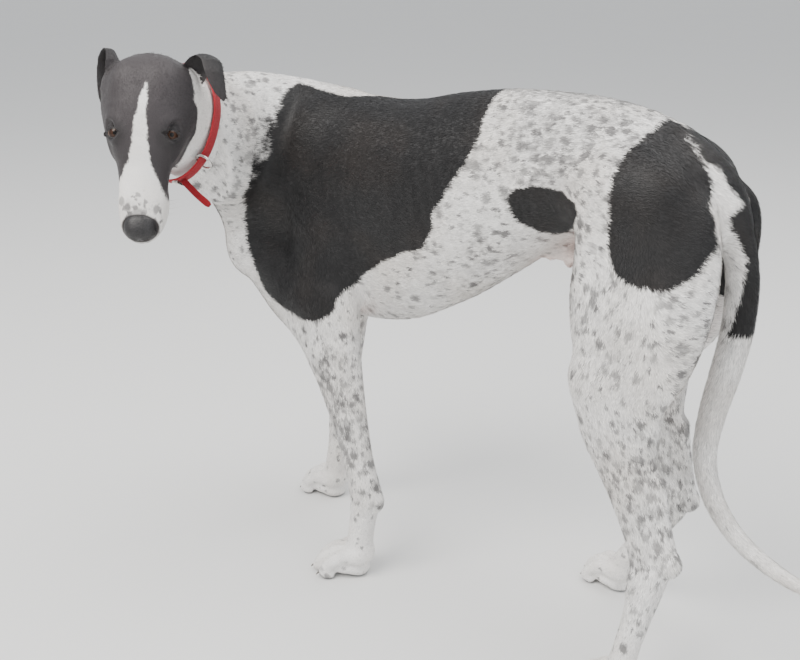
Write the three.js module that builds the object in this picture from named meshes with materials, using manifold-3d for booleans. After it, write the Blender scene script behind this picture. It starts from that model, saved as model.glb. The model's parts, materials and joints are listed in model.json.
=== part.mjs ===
// A greyhound standing still at life size, looking back over its left shoulder, with a red collar.
// Millimetres. +Z is up, the dog's forward is -X and its left side is -Y.
// The flesh is one implicit body: fleshy tubes along the bones and rounded muscles, blended into each
// other. Each named piece is that body, skinned on a grid of its own and cut at its joints.
import * as THREE from "three";
import * as BufferGeometryUtils from "three/addons/utils/BufferGeometryUtils.js";
import Module from "manifold-3d";

const wasm = await Module();
wasm.setup();

// Driving sizes.
const WITHERS_HEIGHT = 690;
const LOIN_HEIGHT = 719;
const CHEST_FLOOR = 361;
const TUCK_UP = 524;
const CHEST_HALF_WIDTH = 90;
const LOIN_HALF_WIDTH = 70;
const ELBOW_HEIGHT = 385;
const CARPUS_HEIGHT = 125;
const STIFLE_HEIGHT = 385;
const HOCK_HEIGHT = 178;
const CUT_GAP = 0.3;

const vec = (x, y, z) => new THREE.Vector3(x, y, z);

// The head hangs turned to the left and back. Its own axes are forward to the nose, to its left, and up
// out of the forehead, and its origin is between the eyes.
const EYES_MIDDLE = vec(-26, -331, 672);
const MUZZLE_BEARING = THREE.MathUtils.degToRad(-54.9);
const MUZZLE_DROP = THREE.MathUtils.degToRad(66);
const HEAD_ROLL = THREE.MathUtils.degToRad(-6);

function headAxes() {
  const forward = vec(
    Math.cos(MUZZLE_BEARING) * Math.cos(MUZZLE_DROP),
    Math.sin(MUZZLE_BEARING) * Math.cos(MUZZLE_DROP),
    -Math.sin(MUZZLE_DROP),
  );
  const left = vec(0, 0, 1).cross(forward).normalize();
  const up = forward.clone().cross(left).normalize();
  left.applyAxisAngle(forward, HEAD_ROLL);
  up.applyAxisAngle(forward, HEAD_ROLL);
  return new THREE.Matrix4().makeBasis(forward, left, up).setPosition(EYES_MIDDLE);
}
const HEAD = headAxes();
const onHead = (forward, left, up) => vec(forward, left, up).applyMatrix4(HEAD);
const headWay = (forward, left, up) => vec(forward, left, up).transformDirection(HEAD);

// A smooth value between neighbours, used for the middle and the sizes of a tube.
function smoothBetween(a, b, c, d, t) {
  const t2 = t * t;
  const t3 = t2 * t;
  return 0.5 * (2 * b + (c - a) * t + (2 * a - 5 * b + 4 * c - d) * t2 + (3 * b - a - 3 * c + d) * t3);
}

const STEPS = 4;
// A fleshy tube through stations. Each station is its middle, how far it reaches up and down along the
// tube's up direction, and how far to each side.
function tube(stations, { up = vec(0, 0, 1), power = 2, blend = 20 } = {}) {
  const rows = stations.map((s) => [...s.at, s.up, s.down ?? s.up, s.side]);
  const dense = [];
  for (let i = 0; i < rows.length - 1; i++) {
    const near = [Math.max(i - 1, 0), i, i + 1, Math.min(i + 2, rows.length - 1)].map((k) => rows[k]);
    for (let s = 0; s < STEPS; s++)
      dense.push(rows[0].map((_, k) => smoothBetween(...near.map((r) => r[k]), s / STEPS)));
  }
  dense.push(rows[rows.length - 1]);
  const segments = dense.slice(1).map((b, i) => {
    const a = dense[i];
    const along = vec(b[0] - a[0], b[1] - a[1], b[2] - a[2]);
    const side = along.clone().normalize();
    const lift = up.clone().addScaledVector(side, -up.dot(side)).normalize();
    return { a, b, along, length2: along.lengthSq(), lift };
  });
  const box = new THREE.Box3();
  for (const r of dense) {
    const reach = Math.max(r[3], r[4], r[5]) + 60;
    box.expandByPoint(vec(r[0] - reach, r[1] - reach, r[2] - reach));
    box.expandByPoint(vec(r[0] + reach, r[1] + reach, r[2] + reach));
  }
  const at = (x, y, z) => {
    let best = 1e6;
    for (const { a, b, along, length2, lift } of segments) {
      const px = x - a[0];
      const py = y - a[1];
      const pz = z - a[2];
      const t = Math.min(1, Math.max(0, (px * along.x + py * along.y + pz * along.z) / length2));
      const qx = px - along.x * t;
      const qy = py - along.y * t;
      const qz = pz - along.z * t;
      const far2 = qx * qx + qy * qy + qz * qz;
      const high = qx * lift.x + qy * lift.y + qz * lift.z;
      const wide = Math.sqrt(Math.max(0, far2 - high * high));
      const tall = high > 0 ? a[3] + (b[3] - a[3]) * t : a[4] + (b[4] - a[4]) * t;
      const broad = a[5] + (b[5] - a[5]) * t;
      const ratio =
        power === 2
          ? Math.hypot(high / tall, wide / broad)
          : (Math.abs(high / tall) ** power + (wide / broad) ** power) ** (1 / power);
      const far = Math.sqrt(far2);
      best = Math.min(best, ratio < 1e-4 ? -Math.min(tall, broad) : far - far / ratio);
    }
    return best;
  };
  return { at, box, blend };
}

// A rounded muscle or bone end: an egg with half sizes along three axes.
function egg(middle, sizes, { axes = null, blend = 15 } = {}) {
  const [forward, left, up] = axes ?? [vec(1, 0, 0), vec(0, 1, 0), vec(0, 0, 1)];
  const reach = Math.max(...sizes) + 50;
  const box = new THREE.Box3(middle.clone().subScalar(reach), middle.clone().addScalar(reach));
  const at = (x, y, z) => {
    const px = x - middle.x;
    const py = y - middle.y;
    const pz = z - middle.z;
    const a = (px * forward.x + py * forward.y + pz * forward.z) / sizes[0];
    const b = (px * left.x + py * left.y + pz * left.z) / sizes[1];
    const c = (px * up.x + py * up.y + pz * up.z) / sizes[2];
    const ratio = Math.hypot(a, b, c);
    const far = Math.hypot(px, py, pz);
    return ratio < 1e-4 ? -Math.min(...sizes) : far - far / ratio;
  };
  return { at, box, blend };
}

// The up and side directions of a long egg that points along a way.
function axesAlong(way, up = vec(0, 1, 0)) {
  const forward = way.clone().normalize();
  const left = up.clone().addScaledVector(forward, -up.dot(forward)).normalize();
  return [forward, left, forward.clone().cross(left)];
}

// A long muscle from one point to another: half its width across the body, and half its height.
function muscle(from, to, across, high, blend = 20, past = 0.12) {
  const way = to.clone().sub(from);
  const length = way.length() * (0.5 + past);
  const middle = from.clone().add(to).multiplyScalar(0.5);
  return egg(middle, [length, across, high], { axes: axesAlong(way), blend });
}

const joined = (a, b, blend) => {
  const h = Math.max(blend - Math.abs(a - b), 0) / blend;
  return Math.min(a, b) - (h * h * blend) / 4;
};

// Trunk. Each station is taken across the body at one place along the back.
function station(x, top, middle, bottom, side) {
  return { at: [x, 0, middle], up: top - middle, down: middle - bottom, side };
}
const trunk = tube(
  [
    station(-172, 556, 520, 476, 26),
    station(-154, 602, 525, 436, 48),
    station(-112, 650, 535, 396, 66),
    station(-60, WITHERS_HEIGHT - 14, 545, CHEST_FLOOR + 18, 78),
    station(0, WITHERS_HEIGHT, 550, CHEST_FLOOR + 8, 84),
    station(60, WITHERS_HEIGHT - 1, 554, CHEST_FLOOR + 6, 87),
    station(120, WITHERS_HEIGHT - 2, 560, CHEST_FLOOR + 18, CHEST_HALF_WIDTH),
    station(180, WITHERS_HEIGHT + 4, 568, CHEST_FLOOR + 50, CHEST_HALF_WIDTH),
    station(240, LOIN_HEIGHT - 12, 582, CHEST_FLOOR + 90, 84),
    station(300, LOIN_HEIGHT - 3, 600, CHEST_FLOOR + 131, 76),
    station(360, LOIN_HEIGHT - 1, 612, TUCK_UP - 1, LOIN_HALF_WIDTH),
    station(420, LOIN_HEIGHT - 4, 618, TUCK_UP + 18, LOIN_HALF_WIDTH),
    station(480, LOIN_HEIGHT - 17, 614, TUCK_UP + 18, 68),
    station(532, LOIN_HEIGHT - 46, 600, TUCK_UP + 15, 56),
    station(564, LOIN_HEIGHT - 78, 586, TUCK_UP + 20, 40),
  ],
  { blend: 30 },
);

// Tail. It leaves the croup, hangs close behind the thighs and sweeps back near the hocks.
const TAIL = [
  { at: [520, 0, 658], up: 22, side: 22 },
  { at: [564, 2, 628], up: 22, side: 21 },
  { at: [595, 4, 583], up: 21, side: 20 },
  { at: [610, 5, 528], up: 20, side: 19 },
  { at: [611, 6, 468], up: 19.5, side: 18.5 },
  { at: [602, 7, 410], up: 19, side: 18 },
  { at: [590, 7, 352], up: 17, side: 16.5 },
  { at: [585, 7, 292], up: 15, side: 14.5 },
  { at: [603, 6, 238], up: 13.5, side: 13 },
  { at: [640, 4, 197], up: 12, side: 11.5 },
  { at: [690, 2, 172], up: 10.5, side: 10 },
  { at: [740, 2, 160], up: 8, side: 7.5 },
  { at: [786, 4, 163], up: 4, side: 4 },
];
const TAIL_UP = vec(1, 0, 0.3).normalize();

// Neck. It rises from between the shoulders, bends to the left and ends behind the skull.
const NECK = [
  { at: [-20, 0, 590], up: 96, down: 128, side: 72 },
  { at: [-76, -18, 612], up: 92, down: 120, side: 70 },
  { at: [-102, -76, 628], up: 88, down: 112, side: 62 },
  { at: [-100, -138, 640], up: 80, down: 100, side: 56 },
  { at: [-86, -194, 656], up: 72, down: 84, side: 52 },
  { at: [-72, -240, 680], up: 58, down: 65, side: 49 },
  { at: [-64, -272, 702], up: 46, down: 58, side: 47 },
];
const neck = tube(NECK, { blend: 34 });

// Fore legs. Each joint is where the bones meet, and the paw points along its bearing.
const FORE = {
  left: {
    side: -1,
    shoulder: vec(-112, -78, 460),
    blade: vec(-2, -44, 640),
    elbow: vec(54, -84, ELBOW_HEIGHT),
    carpus: vec(117, -86, CARPUS_HEIGHT),
    knuckle: vec(110, -94, 44),
    bearing: 24,
  },
  right: {
    side: 1,
    shoulder: vec(-138, 72, 468),
    blade: vec(-12, 44, 640),
    elbow: vec(-58, 82, ELBOW_HEIGHT - 2),
    carpus: vec(-72, 76, CARPUS_HEIGHT + 2),
    knuckle: vec(-86, 72, 44),
    bearing: 4,
  },
};
// Hind legs.
const HIND = {
  left: {
    side: -1,
    hip: vec(505, -66, 600),
    stifle: vec(490, -92, STIFLE_HEIGHT),
    hock: vec(574, -88, HOCK_HEIGHT),
    knuckle: vec(556, -122, 46),
    bearing: 12,
  },
  right: {
    side: 1,
    hip: vec(505, 66, 600),
    stifle: vec(440, 92, STIFLE_HEIGHT + 4),
    hock: vec(513, 92, HOCK_HEIGHT - 6),
    knuckle: vec(434, 110, 42),
    bearing: 20,
  },
};

const bothSides = (make) => [-1, 1].flatMap((side) => make(side));
const between = (a, b, t, shift = vec(0, 0, 0)) => a.clone().lerp(b, t).add(shift);
const row = (p, up, side, down = up) => ({ at: [p.x, p.y, p.z], up, side, down });

// The forward direction of a paw on the floor. A left paw turns out to the left.
function pawWay({ side, bearing }) {
  const angle = THREE.MathUtils.degToRad(bearing);
  return vec(-Math.cos(angle), side * Math.sin(angle), 0);
}

// A paw: four arched toes round a main pad, with webbed skin between. Spread is in the paw's own width.
const FORE_SIZE = 1;
const HIND_SIZE = 0.96;
const TOES = [
  { across: -23, ahead: 26, turn: -14 },
  { across: -8.5, ahead: 40, turn: -4 },
  { across: 8.5, ahead: 40, turn: 4 },
  { across: 23, ahead: 26, turn: 14 },
];
function paw(leg, size) {
  const ahead = pawWay(leg);
  const across = vec(0, 0, 1).cross(ahead);
  const base = vec(leg.knuckle.x, leg.knuckle.y, 0);
  const place = (forward, sideways, height) => {
    const p = base.clone().addScaledVector(ahead, forward * size);
    return p.addScaledVector(across, sideways * size).setZ(height * size);
  };
  const toes = TOES.map((toe) => {
    const turn = THREE.MathUtils.degToRad(toe.turn);
    const way = ahead.clone().multiplyScalar(Math.cos(turn)).addScaledVector(across, Math.sin(turn));
    const root = place(toe.ahead - 26, toe.across * 0.72, 34);
    const knuckle = place(toe.ahead, toe.across, 31);
    const tip = knuckle.clone().addScaledVector(way, 21 * size).setZ(11.5 * size);
    return { root, knuckle, tip, way };
  });
  const pieces = toes.flatMap(({ root, knuckle, tip }) => [
    tube(
      [
        row(root, 12 * size, 11 * size),
        row(between(root, knuckle, 0.7, vec(0, 0, 2)), 11.5 * size, 11 * size),
        row(knuckle, 11 * size, 10.6 * size, 12 * size),
        row(between(knuckle, tip, 0.6, vec(0, 0, 2)), 10 * size, 10 * size, 10 * size),
        row(tip, 8 * size, 8.6 * size, 12 * size),
      ],
      { blend: 4.5, up: vec(0, 0, 1).addScaledVector(ahead, 0.4).normalize() },
    ),
    egg(tip.clone().addScaledVector(ahead, -5 * size).setZ(7 * size), [12 * size, 8.6 * size, 8.6 * size], {
      axes: axesAlong(ahead),
      blend: 4,
    }),
  ]);
  pieces.push(
    egg(place(2, 0, 10), [18 * size, 21 * size, 12 * size], { axes: axesAlong(ahead, across), blend: 6 }),
    egg(place(-2, 0, 34), [22 * size, 24 * size, 18 * size], { axes: axesAlong(ahead, across), blend: 8 }),
    egg(place(19, 0, 14), [31 * size, 28 * size, 13 * size], { axes: axesAlong(ahead, across), blend: 6 }),
  );
  return { pieces, toes, ahead, across };
}

function foreLeg(leg) {
  const { side, shoulder, blade, elbow, carpus, knuckle } = leg;
  const back = vec(1, 0, 0);
  const upperArm = between(blade, elbow, 0.35, vec(0, side * 10, 0));
  const pectoral = shoulder.clone().add(vec(10, -side * 8, -20));
  const foot = paw(leg, FORE_SIZE);
  return {
    foot,
    pieces: [
      muscle(blade, shoulder, 30, 52, 36, 0.1),
      muscle(upperArm, between(elbow, carpus, 0.05), 32, 50, 34, 0.1),
      muscle(shoulder, elbow, 33, 44, 30, 0.12),
      egg(shoulder, [34, 30, 40], { blend: 30 }),
      muscle(pectoral, between(elbow, carpus, 0.22, vec(-26, 0, 0)), 26, 24, 26, 0.1),
      egg(elbow.clone().add(vec(16, 0, 6)), [24, 22, 26], { blend: 22 }),
      tube(
        [
          row(between(elbow, carpus, -0.1, vec(-12, 0, 0)), 56, 33),
          row(between(elbow, carpus, 0.12, vec(-12, 0, 0)), 53, 32),
          row(between(elbow, carpus, 0.32, vec(-7, 0, 0)), 41, 27),
          row(between(elbow, carpus, 0.54, vec(-4, 0, 0)), 32, 22),
          row(between(elbow, carpus, 0.78, vec(-1, 0, 0)), 25, 19.5),
          row(between(elbow, carpus, 0.93), 25.5, 22),
          row(carpus, 25.5, 22),
          row(between(carpus, knuckle, 0.28), 22, 20),
          row(between(carpus, knuckle, 0.6), 20, 20),
          row(knuckle, 20, 22),
        ],
        { up: back, blend: 16 },
      ),
      egg(carpus.clone().add(vec(21, 0, -4)), [12, 10, 14], { blend: 10 }),
      ...foot.pieces,
    ],
  };
}

function hindLeg(leg) {
  const { side, hip, stifle, hock, knuckle } = leg;
  const back = vec(1, 0, 0);
  const foot = paw(leg, HIND_SIZE);
  const heel = hock.clone().add(vec(22, 0, 10));
  const buttock = hip.clone().add(vec(74, -side * 8, -14));
  const rump = hip.clone().add(vec(22, side * 8, 12));
  const calf = between(stifle, hock, 0.25, vec(44, -side * 2, 10));
  const backOfKnee = between(stifle, hock, 0.12, vec(52, side * 2, 34));
  const sideOfKnee = between(stifle, hock, 0.1, vec(22, side * 2, 20));
  const tendon = [
    row(between(calf, heel, 0.35), 12, 9),
    row(between(calf, heel, 0.75), 9.5, 7.5),
    row(heel, 12, 11),
  ];
  return {
    foot,
    pieces: [
      egg(hip.clone().add(vec(-6, -side * 4, 10)), [72, 44, 60], { blend: 40 }),
      muscle(hip.clone().add(vec(-26, 0, -10)), stifle.clone().add(vec(0, 0, 30)), 38, 44, 40, 0.14),
      muscle(buttock, backOfKnee, 34, 46, 40, 0.12),
      muscle(rump, sideOfKnee, 36, 56, 36, 0.06),
      egg(stifle.clone().add(vec(-4, 0, 12)), [30, 28, 38], { blend: 26 }),
      tube(
        [
          row(stifle.clone().add(vec(20, 0, 20)), 58, 36),
          row(between(stifle, hock, 0.18, vec(12, 0, 0)), 53, 31),
          row(between(stifle, hock, 0.38, vec(6, 0, 0)), 42, 25),
          row(between(stifle, hock, 0.6, vec(0, 0, 0)), 30, 20),
          row(between(stifle, hock, 0.8, vec(-2, 0, 0)), 25, 18),
          row(hock.clone().add(vec(-6, 0, 6)), 27, 19.5),
          row(between(hock, knuckle, 0.16, vec(-3, 0, 0)), 25, 19.5),
          row(between(hock, knuckle, 0.45), 19, 17),
          row(between(hock, knuckle, 0.75), 17, 17.5),
          row(knuckle, 18, 20),
        ],
        { up: back, blend: 18 },
      ),
      tube(tendon, { up: back, blend: 14 }),
      egg(heel, [12, 11, 14], { blend: 8 }),
      ...foot.pieces,
    ],
  };
}

// The muscle on each side from the neck's base down to the point of the shoulder, and the sheath.
const neckBase = bothSides((side) => {
  const shoulderPoint = vec(-132, side * 76, 480);
  return muscle(vec(-104, side * 92 - 34, 590), shoulderPoint, 26, 30, 30, 0.1);
});
const sheath = egg(vec(388, 0, 510), [36, 11, 13], { blend: 16 });

const legs = {
  left_fore: foreLeg(FORE.left),
  right_fore: foreLeg(FORE.right),
  left_hind: hindLeg(HIND.left),
  right_hind: hindLeg(HIND.right),
};

// Head, in its own axes. Sizes are half widths and heights over and under the line of the mouth's roof.
const headAxis = [headWay(1, 0, 0), headWay(0, 1, 0), headWay(0, 0, 1)];
const headEgg = (forward, left, up, sizes, blend) =>
  egg(onHead(forward, left, up), sizes, { axes: headAxis, blend });
const headRow = (forward, up, high, low, side) => {
  const p = onHead(forward, 0, up);
  return { at: [p.x, p.y, p.z], up: high, down: low, side };
};
const EYE = { forward: 1, apart: 33, up: -17, radius: 11.5 };
const NOSE_TIP = 133;
// The roof line and the under line of the head from the back of the skull to the lips, with its half width.
const skull = tube(
  [
    headRow(-62, -37, 30, 35, 34),
    headRow(-56, -36, 38, 44, 46),
    headRow(-42, -34, 45, 50, 53),
    headRow(-20, -32, 44, 46, 52),
    headRow(6, -32, 39, 42, 45),
    headRow(30, -32, 32, 36, 36),
    headRow(60, -33, 26.5, 30, 31),
    headRow(88, -33, 23, 26, 30.5),
    headRow(109, -33, 19, 21, 27),
  ],
  { up: headAxis[2], blend: 12, power: 2.2 },
);
const headPieces = [
  skull,
  ...bothSides((side) => [
    headEgg(-46, side * 43, -48, [36, 14, 26], 16),
    headEgg(-44, side * 30, -66, [34, 16, 24], 16),
    headEgg(-4, side * 33, -8, [19, 11, 9], 10),
    headEgg(-8, side * 37, -28, [34, 10, 9], 12),
    headEgg(-64, side * 22, -8, [24, 18, 14], 14),
    headEgg(-66, side * 44, -34, [17, 13, 17], 14),
    headEgg(87, side * 19.5, -43, [31, 11.5, 10], 7),
  ]),
  headEgg(54, 0, -58, [63, 18, 9], 8),
  headEgg(-6, 0, -66, [54, 26, 15], 16),
  headEgg(-54, 0, -74, [36, 30, 20], 20),
];
const carved = bothSides((side) => [
  headEgg(EYE.forward + 1, side * (EYE.apart + 10), EYE.up + 14, [13, 10, 10], 6),
]);

// How far a point is outside the body, near its surface. Only the pieces near it are asked.
function fleshOf(pieces, carvings) {
  return (x, y, z) => {
    const near = (piece) => {
      const { min, max } = piece.box;
      return x > min.x && x < max.x && y > min.y && y < max.y && z > min.z && z < max.z;
    };
    let value = 60;
    for (const piece of pieces) if (near(piece)) value = joined(value, piece.at(x, y, z), piece.blend);
    for (const piece of carvings) if (near(piece)) value = -joined(-value, piece.at(x, y, z), piece.blend);
    return value;
  };
}

// The surface where the body's value is zero, as a closed mesh with one corner in each grid cell that it
// crosses. The grid is a frame with a low corner, a high corner and a cell size along each axis.
function skin(value, { frame = new THREE.Matrix4(), low, high, cell }) {
  const counts = [0, 1, 2].map((k) => Math.ceil((high[k] - low[k]) / cell[k]) + 1);
  const [nx, ny, nz] = counts;
  const index = (i, j, k) => (k * ny + j) * nx + i;
  const values = new Float64Array(nx * ny * nz);
  const point = new THREE.Vector3();
  for (let k = 0; k < nz; k++)
    for (let j = 0; j < ny; j++)
      for (let i = 0; i < nx; i++) {
        point.set(low[0] + i * cell[0], low[1] + j * cell[1], low[2] + k * cell[2]).applyMatrix4(frame);
        const edge = i === 0 || j === 0 || k === 0 || i === nx - 1 || j === ny - 1 || k === nz - 1;
        const found = value(point.x, point.y, point.z);
        values[index(i, j, k)] = edge ? Math.max(found, 1) : Math.abs(found) < 0.02 ? 0.02 : found;
      }
  openSaddles(values, counts, index);
  return netOf(values, counts, index, low, cell, frame);
}

// A grid face whose two inside corners lie across from each other would pinch the mesh: the weaker
// outside corner is taken inside until there is none.
function openSaddles(values, [nx, ny, nz], index) {
  const turns = [
    [[0, 0, 0], [1, 0, 0], [1, 1, 0], [0, 1, 0]],
    [[0, 0, 0], [0, 1, 0], [0, 1, 1], [0, 0, 1]],
    [[0, 0, 0], [1, 0, 0], [1, 0, 1], [0, 0, 1]],
  ];
  for (let changed = true; changed; ) {
    changed = false;
    for (let k = 1; k < nz - 1; k++)
      for (let j = 1; j < ny - 1; j++)
        for (let i = 1; i < nx - 1; i++)
          for (const turn of turns) {
            const corners = turn.map(([a, b, c]) => index(i + a, j + b, k + c));
            const inside = corners.map((c) => values[c] < 0);
            if (inside[0] !== inside[2] || inside[1] !== inside[3] || inside[0] === inside[1]) continue;
            const [a, b] = inside[0] ? [corners[1], corners[3]] : [corners[0], corners[2]];
            values[values[a] < values[b] ? a : b] = -0.5;
            changed = true;
          }
  }
}

function netOf(values, [nx, ny, nz], index, low, cell, frame) {
  const cornerOf = new Int32Array(nx * ny * nz).fill(-1);
  const positions = [];
  const faces = [];
  const steps = [0, 1].flatMap((c) => [0, 1].flatMap((b) => [0, 1].map((a) => [a, b, c])));
  const edges = steps.flatMap((from, m) => steps.map((to, n) => [m, n]).filter(([, n]) => n > m))
    .filter(([m, n]) => steps[m].reduce((sum, v, k) => sum + Math.abs(v - steps[n][k]), 0) === 1);
  const point = new THREE.Vector3();
  for (let k = 0; k < nz - 1; k++)
    for (let j = 0; j < ny - 1; j++)
      for (let i = 0; i < nx - 1; i++) {
        const v = steps.map(([a, b, c]) => values[index(i + a, j + b, k + c)]);
        const sum = [0, 0, 0];
        let crossings = 0;
        for (const [m, n] of edges) {
          if (v[m] < 0 === v[n] < 0) continue;
          const t = v[m] / (v[m] - v[n]);
          const [from, to] = [steps[m], steps[n]];
          for (let axis = 0; axis < 3; axis++) sum[axis] += from[axis] + t * (to[axis] - from[axis]);
          crossings++;
        }
        if (!crossings) continue;
        point.set(
          low[0] + (i + sum[0] / crossings) * cell[0],
          low[1] + (j + sum[1] / crossings) * cell[1],
          low[2] + (k + sum[2] / crossings) * cell[2],
        ).applyMatrix4(frame);
        cornerOf[index(i, j, k)] = positions.length / 3;
        positions.push(point.x, point.y, point.z);
      }
  const quad = (inside, a, b, c, d) => {
    const turn = inside ? [a, b, c, d] : [a, d, c, b];
    const at = (n) => vec(positions[3 * n], positions[3 * n + 1], positions[3 * n + 2]);
    const [p, q, r, s] = turn.map(at);
    if (p.distanceTo(r) <= q.distanceTo(s)) faces.push(turn[0], turn[1], turn[2], turn[0], turn[2], turn[3]);
    else faces.push(turn[1], turn[2], turn[3], turn[1], turn[3], turn[0]);
  };
  for (let k = 0; k < nz - 1; k++)
    for (let j = 0; j < ny - 1; j++)
      for (let i = 0; i < nx - 1; i++) {
        const here = values[index(i, j, k)] < 0;
        const cellAt = (a, b, c) => cornerOf[index(i + a, j + b, k + c)];
        if (j && k && here !== values[index(i + 1, j, k)] < 0)
          quad(here, cellAt(0, -1, -1), cellAt(0, 0, -1), cellAt(0, 0, 0), cellAt(0, -1, 0));
        if (i && k && here !== values[index(i, j + 1, k)] < 0)
          quad(here, cellAt(-1, 0, -1), cellAt(-1, 0, 0), cellAt(0, 0, 0), cellAt(0, 0, -1));
        if (i && j && here !== values[index(i, j, k + 1)] < 0)
          quad(here, cellAt(-1, -1, 0), cellAt(0, -1, 0), cellAt(0, 0, 0), cellAt(-1, 0, 0));
      }
  const geometry = new THREE.BufferGeometry();
  geometry.setAttribute("position", new THREE.Float32BufferAttribute(positions, 3));
  geometry.setIndex(faces);
  return geometry;
}

// A closed mesh with fewer faces: edges are drawn together, cheapest first, while no corner leaves the
// planes of the faces that it stood in by more than the tolerance.
function thinned(geometry, tolerance) {
  const place = Float64Array.from(geometry.attributes.position.array);
  const count = place.length / 3;
  const faces = [];
  const around = Array.from({ length: count }, () => new Set());
  const planes = new Float64Array(count * 10);
  const version = new Int32Array(count);
  const corner = (v) => [place[3 * v], place[3 * v + 1], place[3 * v + 2]];
  const index = geometry.index.array;
  for (let i = 0; i < index.length; i += 3) {
    const face = [index[i], index[i + 1], index[i + 2]];
    const [n, area] = faceNormal(...face.map(corner));
    const away = -(n[0] * place[3 * face[0]] + n[1] * place[3 * face[0] + 1] + n[2] * place[3 * face[0] + 2]);
    const row = [...n, away];
    for (const v of face) {
      around[v].add(faces.length);
      let k = 0;
      for (let a = 0; a < 4; a++) for (let b = a; b < 4; b++) planes[10 * v + k++] += area * row[a] * row[b];
    }
    faces.push(face);
  }
  const cost = (q, [x, y, z]) =>
    q[0] * x * x + 2 * q[1] * x * y + 2 * q[2] * x * z + 2 * q[3] * x + q[4] * y * y +
    2 * q[5] * y * z + 2 * q[6] * y + q[7] * z * z + 2 * q[8] * z + q[9];
  const weight = (v) => [...around[v]].reduce((sum, f) => sum + faceNormal(...faces[f].map(corner))[1], 0);
  const offer = (a, b) => {
    const q = Array.from({ length: 10 }, (_, k) => planes[10 * a + k] + planes[10 * b + k]);
    const [p, r] = [corner(a), corner(b)];
    const mid = p.map((v, k) => (v + r[k]) / 2);
    const best = [mid, bestPoint(q, mid), p, r].sort((m, n) => cost(q, m) - cost(q, n))[0];
    const spread = Math.hypot(p[0] - r[0], p[1] - r[1], p[2] - r[2]);
    const error = Math.sqrt(Math.max(0, cost(q, best)) / (weight(a) + weight(b) + 1e-9));
    return { a, b, best, key: error + spread * 0.004, stamp: version[a] + version[b] };
  };
  const heap = new Heap();
  for (const [a, b, c] of faces)
    for (const [m, n] of [[a, b], [b, c], [c, a]]) if (m < n) heap.push(offer(m, n));
  while (heap.size) {
    const { a, b, best, key, stamp } = heap.pop();
    if (key > tolerance) break;
    if (!around[a].size || !around[b].size || stamp !== version[a] + version[b]) continue;
    const nextTo = (v) => new Set([...around[v]].flatMap((f) => faces[f]));
    const [nearA, nearB] = [nextTo(a), nextTo(b)];
    if (!nearA.has(b) || [...nearA].filter((v) => nearB.has(v)).length !== 4) continue;
    const turns = (v, other) =>
      [...around[v]].some((f) => {
        if (faces[f].includes(other)) return false;
        const [was] = faceNormal(...faces[f].map(corner));
        const [now, area] = faceNormal(...faces[f].map((w) => (w === v ? best : corner(w))));
        return area < 1e-3 || was[0] * now[0] + was[1] * now[1] + was[2] * now[2] < 0.35;
      });
    if (turns(a, b) || turns(b, a)) continue;
    place.set(best, 3 * a);
    for (let k = 0; k < 10; k++) planes[10 * a + k] += planes[10 * b + k];
    for (const f of around[b]) {
      if (faces[f].includes(a)) for (const v of faces[f]) around[v].delete(f);
      else {
        faces[f] = faces[f].map((v) => (v === b ? a : v));
        around[a].add(f);
      }
    }
    around[b].clear();
    version[a]++;
    version[b]++;
    for (const v of nextTo(a)) if (v !== a) heap.push(offer(Math.min(a, v), Math.max(a, v)));
  }
  const kept = new Map();
  const positions = [];
  const corners = [];
  around.forEach((list, v) => {
    if (!list.size) return;
    kept.set(v, positions.length / 3);
    positions.push(...corner(v));
  });
  const left = new Set(around.flatMap((list) => [...list]));
  for (const f of left) corners.push(...faces[f].map((v) => kept.get(v)));
  const thin = new THREE.BufferGeometry();
  thin.setAttribute("position", new THREE.Float32BufferAttribute(positions, 3));
  thin.setIndex(corners);
  return thin;
}

// A face's normal and its area.
function faceNormal(p, q, r) {
  const [a, b] = [q, r].map((v) => [v[0] - p[0], v[1] - p[1], v[2] - p[2]]);
  const n = [a[1] * b[2] - a[2] * b[1], a[2] * b[0] - a[0] * b[2], a[0] * b[1] - a[1] * b[0]];
  const long = Math.hypot(...n) || 1e-12;
  return [n.map((v) => v / long), long / 2];
}

// The point that is nearest to all planes gathered in q, or the middle where they fix no point.
function bestPoint(q, mid) {
  const [a, b, c, d, e, f, g, h, i] = q;
  const det = a * (e * h - f * f) - b * (b * h - f * c) + c * (b * f - e * c);
  if (Math.abs(det) < 1e-3 * (a + e + h) ** 3) return mid;
  const x = -(d * (e * h - f * f) - b * (g * h - f * i) + c * (g * f - e * i)) / det;
  const y = -(a * (g * h - i * f) - d * (b * h - f * c) + c * (b * i - g * c)) / det;
  const z = -(a * (e * i - f * g) - b * (b * i - g * c) + d * (b * f - e * c)) / det;
  return [x, y, z];
}

// A heap that gives the smallest key first.
class Heap {
  items = [];
  get size() {
    return this.items.length;
  }
  push(item) {
    const { items } = this;
    let i = items.push(item) - 1;
    while (i > 0) {
      const up = (i - 1) >> 1;
      if (items[up].key <= item.key) break;
      items[i] = items[up];
      i = up;
    }
    items[i] = item;
  }
  pop() {
    const { items } = this;
    const top = items[0];
    const last = items.pop();
    if (!items.length) return top;
    let i = 0;
    for (;;) {
      let down = 2 * i + 1;
      if (down >= items.length) break;
      if (down + 1 < items.length && items[down + 1].key < items[down].key) down++;
      if (items[down].key >= last.key) break;
      items[i] = items[down];
      i = down;
    }
    items[i] = last;
    return top;
  }
}

// The same mesh with each corner moved out along its faces' mean normal.
function swollen(geometry, by) {
  const swell = geometry.clone();
  swell.computeVertexNormals();
  const at = swell.attributes.position;
  const out = swell.attributes.normal;
  for (let i = 0; i < at.count; i++)
    at.setXYZ(i, at.getX(i) + out.getX(i) * by, at.getY(i) + out.getY(i) * by, at.getZ(i) + out.getZ(i) * by);
  swell.deleteAttribute("normal");
  return swell;
}

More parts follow.
